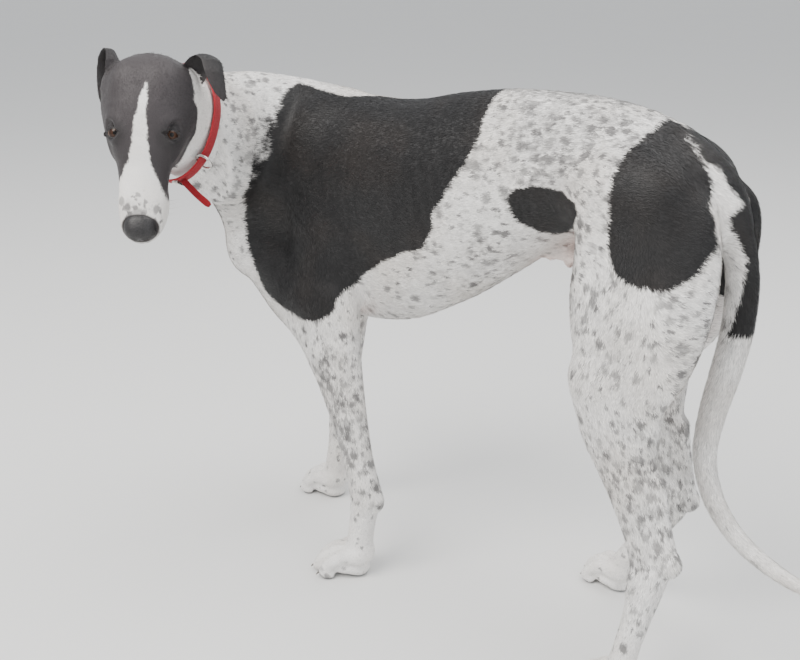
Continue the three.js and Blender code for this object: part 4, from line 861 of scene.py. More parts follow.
class Markings:
    """The pattern of the coat: patches, ticking, bare skin and dark skin, as values over the body."""

    def head_patch(self, points: Array, leaf: Array) -> Array:
        """Works out the black of the head.

        Args:
            points: places on the head and neck.
            leaf: 1 on the ears, 0 elsewhere.

        Returns:
            How far inside the black each place is.
        """
        spot = in_head(points)
        forward, left, up = spot.T
        behind = (points - COLLAR_MIDDLE) @ COLLAR_WAY - 3
        edge = np.interp(forward, *np.array(CHEEK_EDGE).T)
        edge -= 3 * np.maximum(0, 52 - np.abs(left)) * smooth_step(-12, -42, forward)
        edge -= 26 * smooth_step(-20, -40, left)
        under = up - edge
        blaze = outline_distance(spot[:, :2], BLAZE)
        near = 150 - norms(spot - vec(0, 0, -30))
        black = np.minimum.reduce([behind, under, -blaze, near])
        return np.maximum(black, np.where(leaf > 0.3, 20, -60))

    def body_patch(self, points: Array) -> Array:
        """Returns how far inside the black each place of the body is."""
        x, y, z = points.T
        flat = points[:, [0, 2]]
        edge = SPINE_EDGE_Y[0] + (SPINE_EDGE_Y[1] - SPINE_EDGE_Y[0]) * smooth_step(*SPINE_EDGE_X, x)
        near, far = np.minimum(edge - y, y + 128), y - edge
        best = np.minimum(outline_distance(flat, SADDLE), near)
        buttock = -y - 60 * smooth_step(560, 596, x) * smooth_step(650, 620, z)
        for outline in (FLANK_SPOT, THIGH_PATCH):
            best = np.maximum(best, np.minimum(outline_distance(flat, outline), buttock))
        beside_tail = y + np.interp(z, [500, 545, 590, 606, 620], [40, 15, 24, 34, 200])
        stripe = np.minimum.reduce([outline_distance(flat, RUMP_STRIPE), 96 - y, beside_tail])
        best = np.maximum(best, stripe)
        wave = 5 * np.sin(x / 13 + z / 31) * np.sin(z / 17 - x / 37)
        for outline in (FAR_SADDLE, FAR_RUMP, FAR_NECK):
            best = np.maximum(best, np.minimum(outline_distance(flat, outline) + wave, far - 8))
        return best

    def ticks(self, points: Array) -> Array:
        """Returns how dense the grey ticking is, from 0 to about 1."""
        density = np.full(len(points), 0.06)
        for *middle, radius, dense in TICK_ZONES:
            far = norms(points - vec(*middle))
            density = np.maximum(density, dense * bump(far, radius * 1.15))
        density += 0.8 * bump(smooth_distance(points, FORELEG_STREAK), 13)
        spot = in_head(points)
        x, y, z = points.T
        muzzle = smooth_step(66, 92, spot[:, 0]) * bump(spot[:, 1], 19) * smooth_step(-46, -24, spot[:, 2])
        tail = smooth_step(470, 430, z) * bump(y - 6, 22) * smooth_step(540, 570, x)
        density *= smooth_step(90, 130, norms(spot - vec(10, 0, -30))) * 0.94 + 0.06
        return density * (1 - tail) + 0.9 * muzzle

    def frost(self, points: Array) -> Array:
        """Returns how far the head's black is greyed as painted sheen: most on top of the skull, less round
        the eyes.
        """
        spot = in_head(points)
        grey = smooth_step(135, 95, norms(spot - vec(0, 0, -30)))
        for side in (-1, 1):
            eye = norms(spot - vec(EYE.forward + 3, side * (EYE.apart - 4), EYE.up + 8))
            grey *= smooth_step(8, 26, eye) * 0.75 + 0.25
        return grey * (0.7 + 0.3 * smooth_step(60, 20, np.abs(spot[:, 1]) + np.maximum(0, spot[:, 0])))

    def bare(self, points: Array) -> Array:
        """Returns how thinly haired and pink the skin is, from 0 to 1."""
        x, y, z = points.T
        groin = bump(x - 440, 60) * bump(y, 42) * smooth_step(590, 540, z) * smooth_step(380, 430, z)
        sheath = bump(x - 372, 34) * bump(y, 16) * smooth_step(520, 504, z)
        armpit = bump(x - 30, 50) * bump(np.abs(y) - 46, 16) * bump(z - 400, 30)
        inner = bump(np.abs(y) - 58, 22) * bump(x - 470, 70) * bump(z - 440, 80) * 0.7
        return np.clip(np.maximum.reduce([groin, sheath, armpit, inner]), 0, 1)

    def dark(self, points: Array) -> Array:
        """Returns how much the skin is black pad or callus, from 0 to 1."""
        low = smooth_step(4.5, 1.5, points[:, 2])
        pads = [vec(*leg.joint) + vec(26, 0, -6) for leg in (FORE_LEFT, FORE_RIGHT)]
        calluses = [smooth_step(11, 6, norms(points - pad)) for pad in pads]
        return np.maximum.reduce([low, *(0.7 * c for c in calluses)])


@dataclass(frozen=True)
class Stroke:
    """A soft ridge, or a groove below zero, along a bent line of places."""

    path: tuple[Row, ...]
    width: float
    height: float
    both: bool = True


BODY_STROKES = [
    Stroke(((-6, -58, 664), (-50, -76, 580), (-100, -100, 500)), 9, 1.3),
    Stroke(((30, -70, 640), (-10, -92, 560), (-40, -104, 470)), 12, -1.6),
    Stroke(((-70, -66, 640), (-110, -92, 560)), 11, -1.4),
    Stroke(((60, -84, 470), (84, -92, 430), (92, -90, 400)), 9, -1.8),
    Stroke(((10, -112, 430), (60, -116, 400)), 10, -1.0),
    Stroke(((150, -84, 620), (172, -90, 560), (160, -82, 500)), 7, 0.5),
    Stroke(((182, -82, 630), (206, -88, 570), (196, -80, 515)), 7, 0.5),
    Stroke(((214, -78, 640), (240, -84, 585), (232, -76, 530)), 7, 0.6),
    Stroke(((246, -74, 650), (276, -78, 600), (270, -68, 556)), 8, 0.6),
    Stroke(((440, -78, 540), (420, -64, 548), (404, -46, 540)), 10, 1.6),
    Stroke(((548, -112, 610), (560, -120, 540), (552, -112, 450)), 12, -1.6),
    Stroke(((480, -96, 640), (500, -112, 580), (486, -116, 500)), 13, 1.2),
    Stroke(((520, -126, 440), (536, -112, 380), (556, -100, 320)), 8, -1.6),
    Stroke(((330, -30, 722), (420, -30, 718), (500, -26, 706)), 12, 1.0),
    Stroke(((320, 0, 724), (420, 0, 720), (500, 0, 708)), 10, -1.4, False),
    Stroke(((60, 0, 360), (200, 0, 404), (320, 0, 478)), 10, -0.8, False),
    Stroke(((-120, -110, 640), (-116, -96, 560), (-130, -70, 500)), 12, -1.8),
]
LEG_STROKES = [
    (0.10, 0.85, (14, 26), 7, -1.2),
    (0.08, 0.80, (-20, 22), 5, 0.7),
    (0.20, 0.90, (22, -18), 7, -1.0),
]


def leg_strokes() -> list[Stroke]:
    """Returns the grooves between the tendons of each leg and the veins on them."""
    found = []
    for leg in LEGS.values():
        top, low = leg.point("middle"), leg.point("joint")
        for start, end, (back, out), width, height in LEG_STROKES:
            shift = (back, leg.side * out, 0)
            path = tuple(tuple(between(top, low, t, shift)) for t in (start, (start + end) / 2, end))
            found.append(Stroke(path, width, height, False))
        for across in (-9.5, 0, 9.5):
            ends = (paw_place(leg, 8, across, 62), paw_place(leg, 22, across * 1.3, 46))
            found.append(Stroke(tuple(tuple(p) for p in ends), 3.4, -1.4, False))
    return found


HEAD_STROKES = [
    Stroke(((-52, 0, 12), (-20, 0, 10), (8, 0, 6)), 6, -0.9, False),
    Stroke(((14, 22, -8), (30, 19, -14), (44, 17, -18)), 5, -0.8),
    Stroke(((-16, 30, 4), (-4, 26, 6), (6, 21, 2)), 4, 0.7),
    Stroke(((20, 33, -26), (34, 32, -36), (52, 30, -42)), 7, -0.9),
    Stroke(((10, 44, -36), (-14, 52, -34), (-38, 55, -32)), 6, 1.0),
    Stroke(((12, 42, -56), (-6, 50, -66), (-30, 50, -84)), 7, -1.0),
    Stroke(((44, 30, -30), (66, 28, -30), (84, 27, -32)), 2.4, 0.5),
    Stroke(((100, 25, -42), (86, 29, -45), (72, 30, -47)), 3, 0.5),
]


def relief(points: Array, strokes: list[Stroke], mirror: Array, origin: Array) -> Array:
    """Works out the height of ridges and grooves.

    Args:
        points: the places.
        strokes: the ridges and grooves.
        mirror: the unit direction across which paired strokes are mirrored.
        origin: a place on the middle plane.

    Returns:
        The height to add at each place.
    """
    side = (points - origin) @ mirror
    total = np.zeros(len(points))
    for stroke in strokes:
        path = [vec(*p) for p in stroke.path]
        sign = np.sign(np.mean([(p - origin) @ mirror for p in path])) if stroke.both else 0
        folded = points
        if sign:
            over = np.where(side * sign < 0, side, 0)
            folded = points - 2 * over[:, None] * mirror
        low = np.min(path, axis=0) - 3 * stroke.width
        high = np.max(path, axis=0) + 3 * stroke.width
        near = np.all((folded > low) & (folded < high), axis=1)
        if near.any():
            total[near] += stroke.height * bump(smooth_distance(folded[near], stroke.path), stroke.width)
    return total


Value = Socket | float | Row


class Graph:
    """Nodes being laid out in a material or in a group."""

    def __init__(self, tree: Tree) -> None:
        """Keeps the tree that the nodes go into."""
        self.tree = tree

    def feed(self, socket: Socket, value: Value) -> None:
        """Links a value into a socket, or sets it there."""
        if isinstance(value, Socket):
            self.tree.links.new(value, socket)
        elif isinstance(value, tuple) and socket.type == "RGBA" and len(value) == 3:
            socket.default_value = (*value, 1)
        else:
            socket.default_value = value

    def add(self, kind: str, inputs: dict | None = None, **settings: str | bool) -> Node:
        """Adds a node.

        Args:
            kind: the node's type.
            inputs: what goes into its sockets, by their names or numbers.
            settings: its other settings.

        Returns:
            The node.
        """
        node = self.tree.nodes.new(kind)
        for key, value in settings.items():
            setattr(node, key, value)
        for key, value in (inputs or {}).items():
            self.feed(node.inputs[key], value)
        return node

    def math(self, operation: str, a: Value, b: Value = 0.0, clamp: bool = False) -> Socket:
        """Returns the result of a sum on two values."""
        return self.add("ShaderNodeMath", {0: a, 1: b}, operation=operation, use_clamp=clamp).outputs[0]

    def times(self, a: Value, b: Value) -> Socket:
        """Returns the product of two values."""
        return self.math("MULTIPLY", a, b)

    def plus(self, a: Value, b: Value) -> Socket:
        """Returns the sum of two values."""
        return self.math("ADD", a, b)

    def here(self) -> Socket:
        """Returns the place on the object."""
        return self.add("ShaderNodeTexCoord").outputs["Object"]

    def colour(self, factor: Value, a: Value, b: Value, blend: str = "MIX") -> Socket:
        """Returns a mix of two colours."""
        inputs = {0: factor, 6: a, 7: b}
        return self.add("ShaderNodeMix", inputs, data_type="RGBA", blend_type=blend).outputs[2]

    def blend(self, factor: Value, a: Value, b: Value) -> Socket:
        """Returns a mix of two numbers."""
        return self.add("ShaderNodeMix", {0: factor, 2: a, 3: b}, data_type="FLOAT").outputs[0]

    def noise(self, place: Value, scale: Value, detail: float = 2.0, rough: float = 0.5) -> Socket:
        """Returns a noise over a place, from 0 to 1."""
        inputs = {"Vector": place, "Scale": scale, "Detail": detail, "Roughness": rough}
        return self.add("ShaderNodeTexNoise", inputs).outputs["Fac"]

    def span(self, value: Value, low: Value, high: Value, a: Value = 0.0, b: Value = 1.0) -> Socket:
        """Returns a smooth step from a to b as a value goes from low to high."""
        inputs = {"Value": value, "From Min": low, "From Max": high, "To Min": a, "To Max": b}
        return self.add("ShaderNodeMapRange", inputs, interpolation_type="SMOOTHSTEP").outputs["Result"]

    def attribute(self, name: str, output: str = "Fac") -> Socket:
        """Returns one of the mesh's attributes."""
        return self.add("ShaderNodeAttribute", attribute_name=name).outputs[output]

    def scaled(self, place: Value, by: Row) -> Socket:
        """Returns a place with each axis scaled."""
        return self.add("ShaderNodeVectorMath", {0: place, 1: by}, operation="MULTIPLY").outputs[0]

    def bump(self, height: Value, distance: float, normal: Value | None = None) -> Socket:
        """Returns a normal bent by a height, whose whole range is a distance in metres."""
        inputs: dict[str | int, Value] = {"Height": height, "Distance": distance, "Strength": 1.0}
        if normal is not None:
            inputs["Normal"] = normal
        return self.add("ShaderNodeBump", inputs).outputs["Normal"]

    def use(self, tree: Tree, **inputs: Value) -> Socket:
        """Places a shared group with its own values, and returns what it gives."""
        node = self.add("ShaderNodeGroup", node_tree=tree)
        for key, value in inputs.items():
            self.feed(node.inputs[key], value)
        return node.outputs[0]


def new_group(name: str, inputs: dict[str, str], outputs: dict[str, str]) -> tuple[Graph, dict, dict]:
    """Starts a shared node group.

    Args:
        name: the group's name.
        inputs: its inputs and their socket types.
        outputs: its outputs and their socket types.

    Returns:
        The graph, the group's inputs as sockets to read, and its outputs as sockets to feed.
    """
    tree = bpy.data.node_groups.new(name, "ShaderNodeTree")
    for key, kind in inputs.items():
        tree.interface.new_socket(key, in_out="INPUT", socket_type=kind)
    for key, kind in outputs.items():
        tree.interface.new_socket(key, in_out="OUTPUT", socket_type=kind)
    start, end = tree.nodes.new("NodeGroupInput"), tree.nodes.new("NodeGroupOutput")
    return Graph(tree), {k: start.outputs[k] for k in inputs}, {k: end.inputs[k] for k in outputs}


def mottle_group() -> Tree:
    """Builds soft uneven patches, as worn leather, old webbing and a coat have them."""
    inputs = {"Place": "NodeSocketVector", "Size": "NodeSocketFloat", "Amount": "NodeSocketFloat"}
    graph, given, gives = new_group("soft_mottle", inputs, {"Value": "NodeSocketFloat"})
    scale = graph.math("DIVIDE", 1.0, given["Size"])
    broad = graph.noise(given["Place"], scale, 3.0, 0.55)
    fine = graph.noise(given["Place"], graph.times(scale, 6.3), 2.0)
    both = graph.plus(graph.times(broad, 0.7), graph.times(fine, 0.3))
    centred = graph.math("SUBTRACT", both, 0.5)
    graph.feed(gives["Value"], graph.plus(graph.times(centred, given["Amount"]), 1.0))
    return graph.tree


def fleck_group() -> Tree:
    """Builds soft round flecks that grow denser with a given density, as ticking on a coat."""
    inputs = {"Place": "NodeSocketVector", "Size": "NodeSocketFloat", "Density": "NodeSocketFloat"}
    graph, given, gives = new_group("soft_flecks", inputs, {"Mask": "NodeSocketFloat"})
    scale = graph.math("DIVIDE", 1.0, given["Size"])
    warp = graph.add("ShaderNodeTexNoise", {"Vector": given["Place"], "Scale": scale, "Detail": 1.0})
    warped = graph.add("ShaderNodeVectorMath", {0: warp.outputs["Color"], 1: (0.006, 0.006, 0.006)})
    warped.operation = "MULTIPLY"
    moved = graph.add("ShaderNodeVectorMath", {0: given["Place"], 1: warped.outputs[0]}, operation="ADD")
    cells = graph.add("ShaderNodeTexVoronoi", {"Vector": moved.outputs[0], "Scale": scale})
    parts = graph.add("ShaderNodeSeparateColor", {0: cells.outputs["Color"]})
    chosen = graph.span(graph.math("SUBTRACT", given["Density"], parts.outputs[0]), -0.04, 0.06)
    reach = graph.blend(parts.outputs[1], 0.46, 0.78)
    inner = graph.math("SUBTRACT", reach, 0.32)
    spot = graph.span(cells.outputs["Distance"], inner, reach, 1.0, 0.0)
    strength = graph.blend(parts.outputs[2], 0.6, 1.0)
    graph.feed(gives["Mask"], graph.times(graph.times(spot, chosen), strength))
    return graph.tree


def grain_group() -> Tree:
    """Builds a fine pebbled height, as skin, pads and nose leather have it."""
    inputs = {"Place": "NodeSocketVector", "Size": "NodeSocketFloat"}
    graph, given, gives = new_group("pebble_grain", inputs, {"Height": "NodeSocketFloat"})
    scale = graph.math("DIVIDE", 1.0, given["Size"])
    cells = {"Vector": given["Place"], "Scale": scale, "Smoothness": 0.4}
    pebble = graph.add("ShaderNodeTexVoronoi", cells, feature="SMOOTH_F1").outputs["Distance"]
    rough = graph.noise(given["Place"], graph.times(scale, 2.4), 2.0)
    height = graph.math("SUBTRACT", 1.0, graph.times(pebble, 0.8))
    graph.feed(gives["Height"], graph.plus(height, graph.times(rough, 0.2)))
    return graph.tree


MOTTLE = mottle_group()
FLECKS = fleck_group()
GRAIN = grain_group()


@dataclass(frozen=True)
class Finish:
    """What every finish has: a name, and its plain shader values."""

    name: str
    roughness: float = 0.5
    specular: float = 0.5
    sheen: float = 0.0
    coat: float = 0.0
    coat_roughness: float = 0.05
    metallic: float = 0.0

    def start(self) -> tuple[Material, Graph, Node]:
        """Returns a new material, its graph and its shader with the plain values set."""
        material = bpy.data.materials.new(self.name)
        material.use_nodes = True
        shader = material.node_tree.nodes["Principled BSDF"]
        values = {
            "Roughness": self.roughness,
            "Specular IOR Level": self.specular,
            "Sheen Weight": self.sheen,
            "Coat Weight": self.coat,
            "Coat Roughness": self.coat_roughness,
            "Metallic": self.metallic,
        }
        for key, value in values.items():
            shader.inputs[key].default_value = value
        return material, Graph(material.node_tree), shader


class CoatLayer(Enum):
    """The two layers of the coat that share the markings."""

    SKIN = "skin"
    TUFTS = "tufts"


@dataclass(frozen=True)
class CoatFinish(Finish):
    """Short hair in white and black with grey ticking, over skin that shows pink where hair is thin."""

    layer: CoatLayer = CoatLayer.SKIN
    white: Row = (0.82, 0.805, 0.785)
    cream: Row = (0.74, 0.705, 0.665)
    # The head's black, lightened as painted sheen.
    sheen_charcoal: Row = (0.042, 0.036, 0.038)
    black: Row = (0.0125, 0.012, 0.0125)
    brown_black: Row = (0.02, 0.017, 0.016)
    tick: Row = (0.13, 0.125, 0.125)
    pink: Row = (0.62, 0.4, 0.345)
    pad: Row = (0.03, 0.027, 0.026)
    lip: Row = (0.022, 0.018, 0.018)

    def material(self) -> Material:
        """Builds the material."""
        material, graph, shader = self.start()
        place = graph.attribute("place", "Vector")
        broad = graph.times(graph.math("SUBTRACT", graph.noise(place, 60.0, 3.0, 0.6), 0.5), 9.0)
        fine = graph.times(graph.math("SUBTRACT", graph.noise(place, 420.0, 1.0), 0.5), 5.0)
        patch = graph.plus(graph.attribute("patch"), graph.plus(broad, fine))
        black = graph.span(patch, -1.6, 1.6)
        soft = graph.use(MOTTLE, Place=place, Size=0.07, Amount=0.34)
        warm = graph.noise(place, 9.0, 2.0)
        white = graph.colour(graph.span(warm, 0.35, 0.75), self.white, self.cream)
        white = graph.colour(1.0, white, soft, "MULTIPLY")
        ticks = graph.attribute("ticks")
        large = graph.use(FLECKS, Place=place, Size=0.0125, Density=ticks)
        small = graph.use(FLECKS, Place=place, Size=0.0065, Density=ticks)
        flecks = graph.times(graph.math("MAXIMUM", large, small), 0.92)
        roan = graph.times(graph.span(graph.noise(place, 38.0, 2.0), 0.42, 0.7), ticks)
        shade = graph.math("MAXIMUM", flecks, graph.times(roan, 0.4))
        white = graph.colour(shade, white, self.tick)
        white = graph.colour(graph.times(graph.attribute("bare"), 0.8), white, self.pink)
        brown = graph.span(graph.noise(place, 14.0, 2.0), 0.4, 0.75)
        dark = graph.colour(brown, self.black, self.brown_black)
        # Painted sheen: the head's black is greyed, most on top of the skull and least round the eyes.
        dark = graph.colour(graph.attribute("frost"), dark, self.sheen_charcoal)
        colour = graph.colour(black, white, dark)
        colour = graph.colour(graph.attribute("pads"), colour, self.pad)
        colour = graph.colour(graph.attribute("lips"), colour, self.lip)
        tone = graph.plus(graph.times(graph.attribute("tone"), 0.16), 1.0)
        colour = graph.colour(1.0, colour, tone, "MULTIPLY")
        graph.feed(shader.inputs["Base Color"], colour)
        rough = graph.blend(black, self.roughness, self.roughness - 0.12)
        graph.feed(shader.inputs["Roughness"], graph.blend(graph.attribute("lips"), rough, 0.34))
        if self.layer is CoatLayer.SKIN:
            hairs = graph.noise(place, 900.0, 2.0, 0.6)
            pebbles = graph.use(GRAIN, Place=place, Size=0.0016)
            height = graph.blend(graph.attribute("pads"), hairs, pebbles)
            graph.feed(shader.inputs["Normal"], graph.bump(height, 0.00035))
        return material


@dataclass(frozen=True)
class EyeFinish(Finish):
    """A wet brown eye with a dark pupil and a dark rim to the iris."""

    pupil: float = 2.6
    iris: float = 7.6
    inner: Row = (0.055, 0.023, 0.011)
    outer: Row = (0.018, 0.008, 0.005)
    white: Row = (0.1, 0.065, 0.052)

    def material(self) -> Material:
        """Builds the material."""
        material, graph, shader = self.start()
        ring = graph.attribute("ring")
        spokes = graph.noise(graph.attribute("spoke", "Vector"), 9.0, 3.0, 0.7)
        share = graph.span(ring, self.pupil, self.iris)
        iris = graph.colour(share, self.inner, self.outer)
        iris = graph.colour(graph.span(spokes, 0.35, 0.7, 0.0, 0.75), iris, (0.022, 0.009, 0.004))
        iris = graph.colour(graph.span(ring, self.iris - 1.0, self.iris - 0.1), iris, (0.006, 0.004, 0.004))
        place = graph.here()
        veins = graph.use(MOTTLE, Place=place, Size=0.004, Amount=0.9)
        white = graph.colour(1.0, self.white, veins, "MULTIPLY")
        colour = graph.colour(graph.span(ring, self.iris - 0.15, self.iris + 0.5), iris, white)
        pupil = graph.span(ring, self.pupil - 0.3, self.pupil + 0.15, 1.0, 0.0)
        colour = graph.colour(pupil, colour, (0.002, 0.002, 0.002))
        graph.feed(shader.inputs["Base Color"], colour)
        return material


@dataclass(frozen=True)
class NoseFinish(Finish):
    """Damp black nose leather with a pebbled grain."""

    dark: Row = (0.008, 0.0075, 0.008)
    worn: Row = (0.024, 0.022, 0.023)

    def material(self) -> Material:
        """Builds the material."""
        material, graph, shader = self.start()
        place = graph.here()
        grain = graph.use(GRAIN, Place=place, Size=0.0014)
        soft = graph.use(MOTTLE, Place=place, Size=0.012, Amount=1.2)
        tops = graph.math("MULTIPLY", graph.span(grain, 0.5, 1.0), soft, clamp=True)
        graph.feed(shader.inputs["Base Color"], graph.colour(tops, self.dark, self.worn))
        graph.feed(shader.inputs["Roughness"], graph.blend(tops, self.roughness + 0.1, self.roughness))
        graph.feed(shader.inputs["Normal"], graph.bump(grain, 0.0003))
        return material


@dataclass(frozen=True)
class HornFinish(Finish):
    """Dark horn of claws, paler and worn at the tip, or the pale hair of whiskers."""

    root: Row = (0.018, 0.015, 0.014)
    tip: Row = (0.1, 0.085, 0.072)

    def material(self) -> Material:
        """Builds the material."""
        material, graph, shader = self.start()
        place = graph.here()
        streaks = graph.noise(graph.scaled(place, (900.0, 900.0, 160.0)), 1.0, 2.0)
        share = graph.times(graph.attribute("share"), graph.span(streaks, 0.2, 0.8, 0.5, 1.2))
        share = graph.math("MINIMUM", share, 1.0)
        graph.feed(shader.inputs["Base Color"], graph.colour(share, self.root, self.tip))
        graph.feed(shader.inputs["Normal"], graph.bump(streaks, 0.00015))
        return material


@dataclass(frozen=True)
class WebbingFinish(Finish):
    """Red woven webbing, with painted shade in the low parts of its weave, sewn lines near its edges and
    worn, paler corners.
    """

    red: Row = (0.42, 0.006, 0.016)
    # The deep red is painted shade for the low parts of the weave.
    deep: Row = (0.15, 0.002, 0.006)
    worn: Row = (0.5, 0.035, 0.045)
    thread: Row = (0.52, 0.03, 0.045)

    def material(self) -> Material:
        """Builds the material."""
        material, graph, shader = self.start()
        spot = graph.add("ShaderNodeUVMap", uv_map="weave").outputs[0]
        parts = graph.add("ShaderNodeSeparateXYZ", {0: spot})
        along, across = parts.outputs[0], parts.outputs[1]
        warp = graph.math("SINE", graph.times(across, 2 * math.pi / 1.15))
        weft = graph.math("SINE", graph.times(along, 2 * math.pi / 1.5))
        ribs = graph.plus(graph.times(graph.times(warp, weft), 0.5), 0.5)
        edge = graph.math("ABSOLUTE", across)
        line = graph.span(graph.math("ABSOLUTE", graph.math("SUBTRACT", edge, 5.7)), 0.25, 0.6, 1.0, 0.0)
        dashes = graph.span(graph.math("SINE", graph.times(along, 2 * math.pi / 2.6)), -0.6, -0.2)
        sewn = graph.times(line, dashes)
        place = graph.here()
        soft = graph.use(MOTTLE, Place=place, Size=0.02, Amount=0.7)
        # Painted shade: where the weave is bumped low it is coloured deep red.
        colour = graph.colour(ribs, self.deep, self.red)
        colour = graph.colour(graph.span(edge, 6.6, 8.4, 0.0, 0.5), colour, self.worn)
        colour = graph.colour(graph.times(sewn, 0.8), colour, self.thread)
        graph.feed(shader.inputs["Base Color"], graph.colour(1.0, colour, soft, "MULTIPLY"))
        height = graph.plus(ribs, graph.times(sewn, 1.4))
        graph.feed(shader.inputs["Normal"], graph.bump(height, 0.00028))
        return material


@dataclass(frozen=True)
class SteelFinish(Finish):
    """Bright plated steel with fine scratches and a little tarnish."""

    bright: Row = (0.68, 0.67, 0.65)
    dull: Row = (0.36, 0.34, 0.31)

    def material(self) -> Material:
        """Builds the material."""
        material, graph, shader = self.start()
        place = graph.here()
        tarnish = graph.span(graph.noise(place, 260.0, 3.0, 0.6), 0.45, 0.75)
        scratch = graph.noise(graph.scaled(place, (500.0, 3000.0, 1400.0)), 1.0, 2.0)
        graph.feed(shader.inputs["Base Color"], graph.colour(tarnish, self.bright, self.dull))
        rough = graph.plus(graph.times(tarnish, 0.2), self.roughness)
        graph.feed(shader.inputs["Roughness"], graph.plus(rough, graph.times(scratch, 0.08)))
        graph.feed(shader.inputs["Normal"], graph.bump(scratch, 0.00003))
        return material


@dataclass(frozen=True)
class FloorFinish(Finish):
    """Plain pale studio paper."""

    tone: Row = (0.74, 0.74, 0.73)

    def material(self) -> Material:
        """Builds the material."""
        material, graph, shader = self.start()
        place = graph.here()
        soft = graph.use(MOTTLE, Place=place, Size=0.6, Amount=0.03)
        graph.feed(shader.inputs["Base Color"], graph.colour(1.0, self.tone, soft, "MULTIPLY"))
        return material


SKIN = CoatFinish("coat_skin", roughness=0.62, specular=0.3, sheen=0.08).material()
TUFTS = CoatFinish("coat_tufts", roughness=0.58, specular=0.28, sheen=0.06, layer=CoatLayer.TUFTS).material()
EYE_GLOSS = EyeFinish("eye_gloss", roughness=0.35, specular=0.05, coat=0.4, coat_roughness=0.02).material()
NOSE_PAINT = NoseFinish("nose_leather", roughness=0.42, specular=0.4, coat=0.12, coat_roughness=0.3)
NOSE_LEATHER = NOSE_PAINT.material()
CLAW_HORN = HornFinish("claw_horn", roughness=0.38).material()
WHISKER_PAINT = HornFinish("whisker_hair", roughness=0.4, root=(0.5, 0.48, 0.45), tip=(0.66, 0.64, 0.6))
WHISKER_HAIR = WHISKER_PAINT.material()
WEBBING = WebbingFinish("red_webbing", roughness=0.74, specular=0.3, sheen=0.1).material()
STEEL = SteelFinish("ring_steel", roughness=0.2, metallic=1.0).material()


def only(*objects: Piece) -> Piece:
    """Selects just these objects and makes the first of them active."""
    for other in bpy.context.view_layer.objects:
        other.select_set(False)
    for obj in objects:
        obj.select_set(True)
    bpy.context.view_layer.objects.active = objects[0]
    return objects[0]


def finish_with(obj: Piece, kind: str, **settings: float | int | str | bool) -> None:
    """Adds a modifier to an object and applies it."""
    only(obj)
    modifier = obj.modifiers.new(kind.lower(), kind)
    for key, value in settings.items():
        setattr(modifier, key, value)
    bpy.ops.object.modifier_apply(modifier=modifier.name)


def read(items: bpy.types.bpy_prop_collection, key: str, size: int = 1, kind: type = np.float32) -> Array:
    """Returns one property of a mesh's items, as rows where each has more than one value."""
    flat = np.empty(len(items) * size, kind)
    items.foreach_get(key, flat)
    return flat.reshape(-1, size) if size > 1 else flat


def places(obj: Piece) -> Array:
    """Returns an object's vertices in millimetres from the withers."""
    return from_frame(read(obj.data.vertices, "co", 3).astype(float))


def put_places(obj: Piece, points: Array) -> None:
    """Moves an object's vertices to places in millimetres from the withers."""
    obj.data.vertices.foreach_set("co", to_frame(points).astype(np.float32).ravel())
    obj.data.update()


def normals(obj: Piece) -> Array:
    """Returns an object's directions at its vertices."""
    return read(obj.data.vertices, "normal", 3).astype(float)


def smoothed(obj: Piece) -> Piece:
    """Shades an object smoothly."""
    only(obj)
    bpy.ops.object.shade_smooth()
    return obj


def faced_out(obj: Piece) -> Piece:
    """Turns an object's faces to point outwards."""
    only(obj)
    bpy.ops.object.mode_set(mode="EDIT")
    bpy.ops.mesh.select_all(action="SELECT")
    bpy.ops.mesh.normals_make_consistent(inside=False)
    bpy.ops.object.mode_set(mode="OBJECT")
    return obj


def primitive(shape: str, name: str, scale: Row = (1, 1, 1), **settings: float | int | Row | Array) -> Piece:
    """Adds one of the plain shapes, with its place, turn and size worked into its mesh."""
    bpy.ops.object.select_all(action="DESELECT")
    getattr(bpy.ops.mesh, f"primitive_{shape}_add")(**settings)
    obj = bpy.context.active_object
    obj.name = obj.data.name = name
    obj.scale = scale
    bpy.ops.object.transform_apply(location=True, rotation=True, scale=True)
    return obj


def give(obj: Piece, name: str, values: Array) -> None:
    """Writes an attribute of numbers or of places onto an object's vertices."""
    kind, key = ("FLOAT_VECTOR", "vector") if values.ndim == 2 else ("FLOAT", "value")
    layer = obj.data.attributes.new(name, kind, "POINT")
    layer.data.foreach_set(key, values.astype(np.float32).ravel())


def dress(obj: Piece, material: Material, slot: str, *nodes: str) -> Piece:
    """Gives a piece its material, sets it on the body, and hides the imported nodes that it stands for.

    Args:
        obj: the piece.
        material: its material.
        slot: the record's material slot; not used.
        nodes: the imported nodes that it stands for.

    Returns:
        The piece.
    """
    obj.data.materials.clear()
    obj.data.materials.append(material)
    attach(obj, "root")
    if nodes:
        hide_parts(*nodes)
    LOG.info("%s: %d faces", obj.name, len(obj.data.polygons))
    return obj


def mesh_of(name: str, points: Array, faces: Faces) -> Piece:
    """Makes an object from places in millimetres from the withers and its faces."""
    mesh = bpy.data.meshes.new(name)
    mesh.from_pydata(to_frame(points).tolist(), [], faces)
    obj = bpy.data.objects.new(name, mesh)
    bpy.context.scene.collection.objects.link(obj)
    mesh.polygons.foreach_set("use_smooth", [True] * len(mesh.polygons))
    return obj


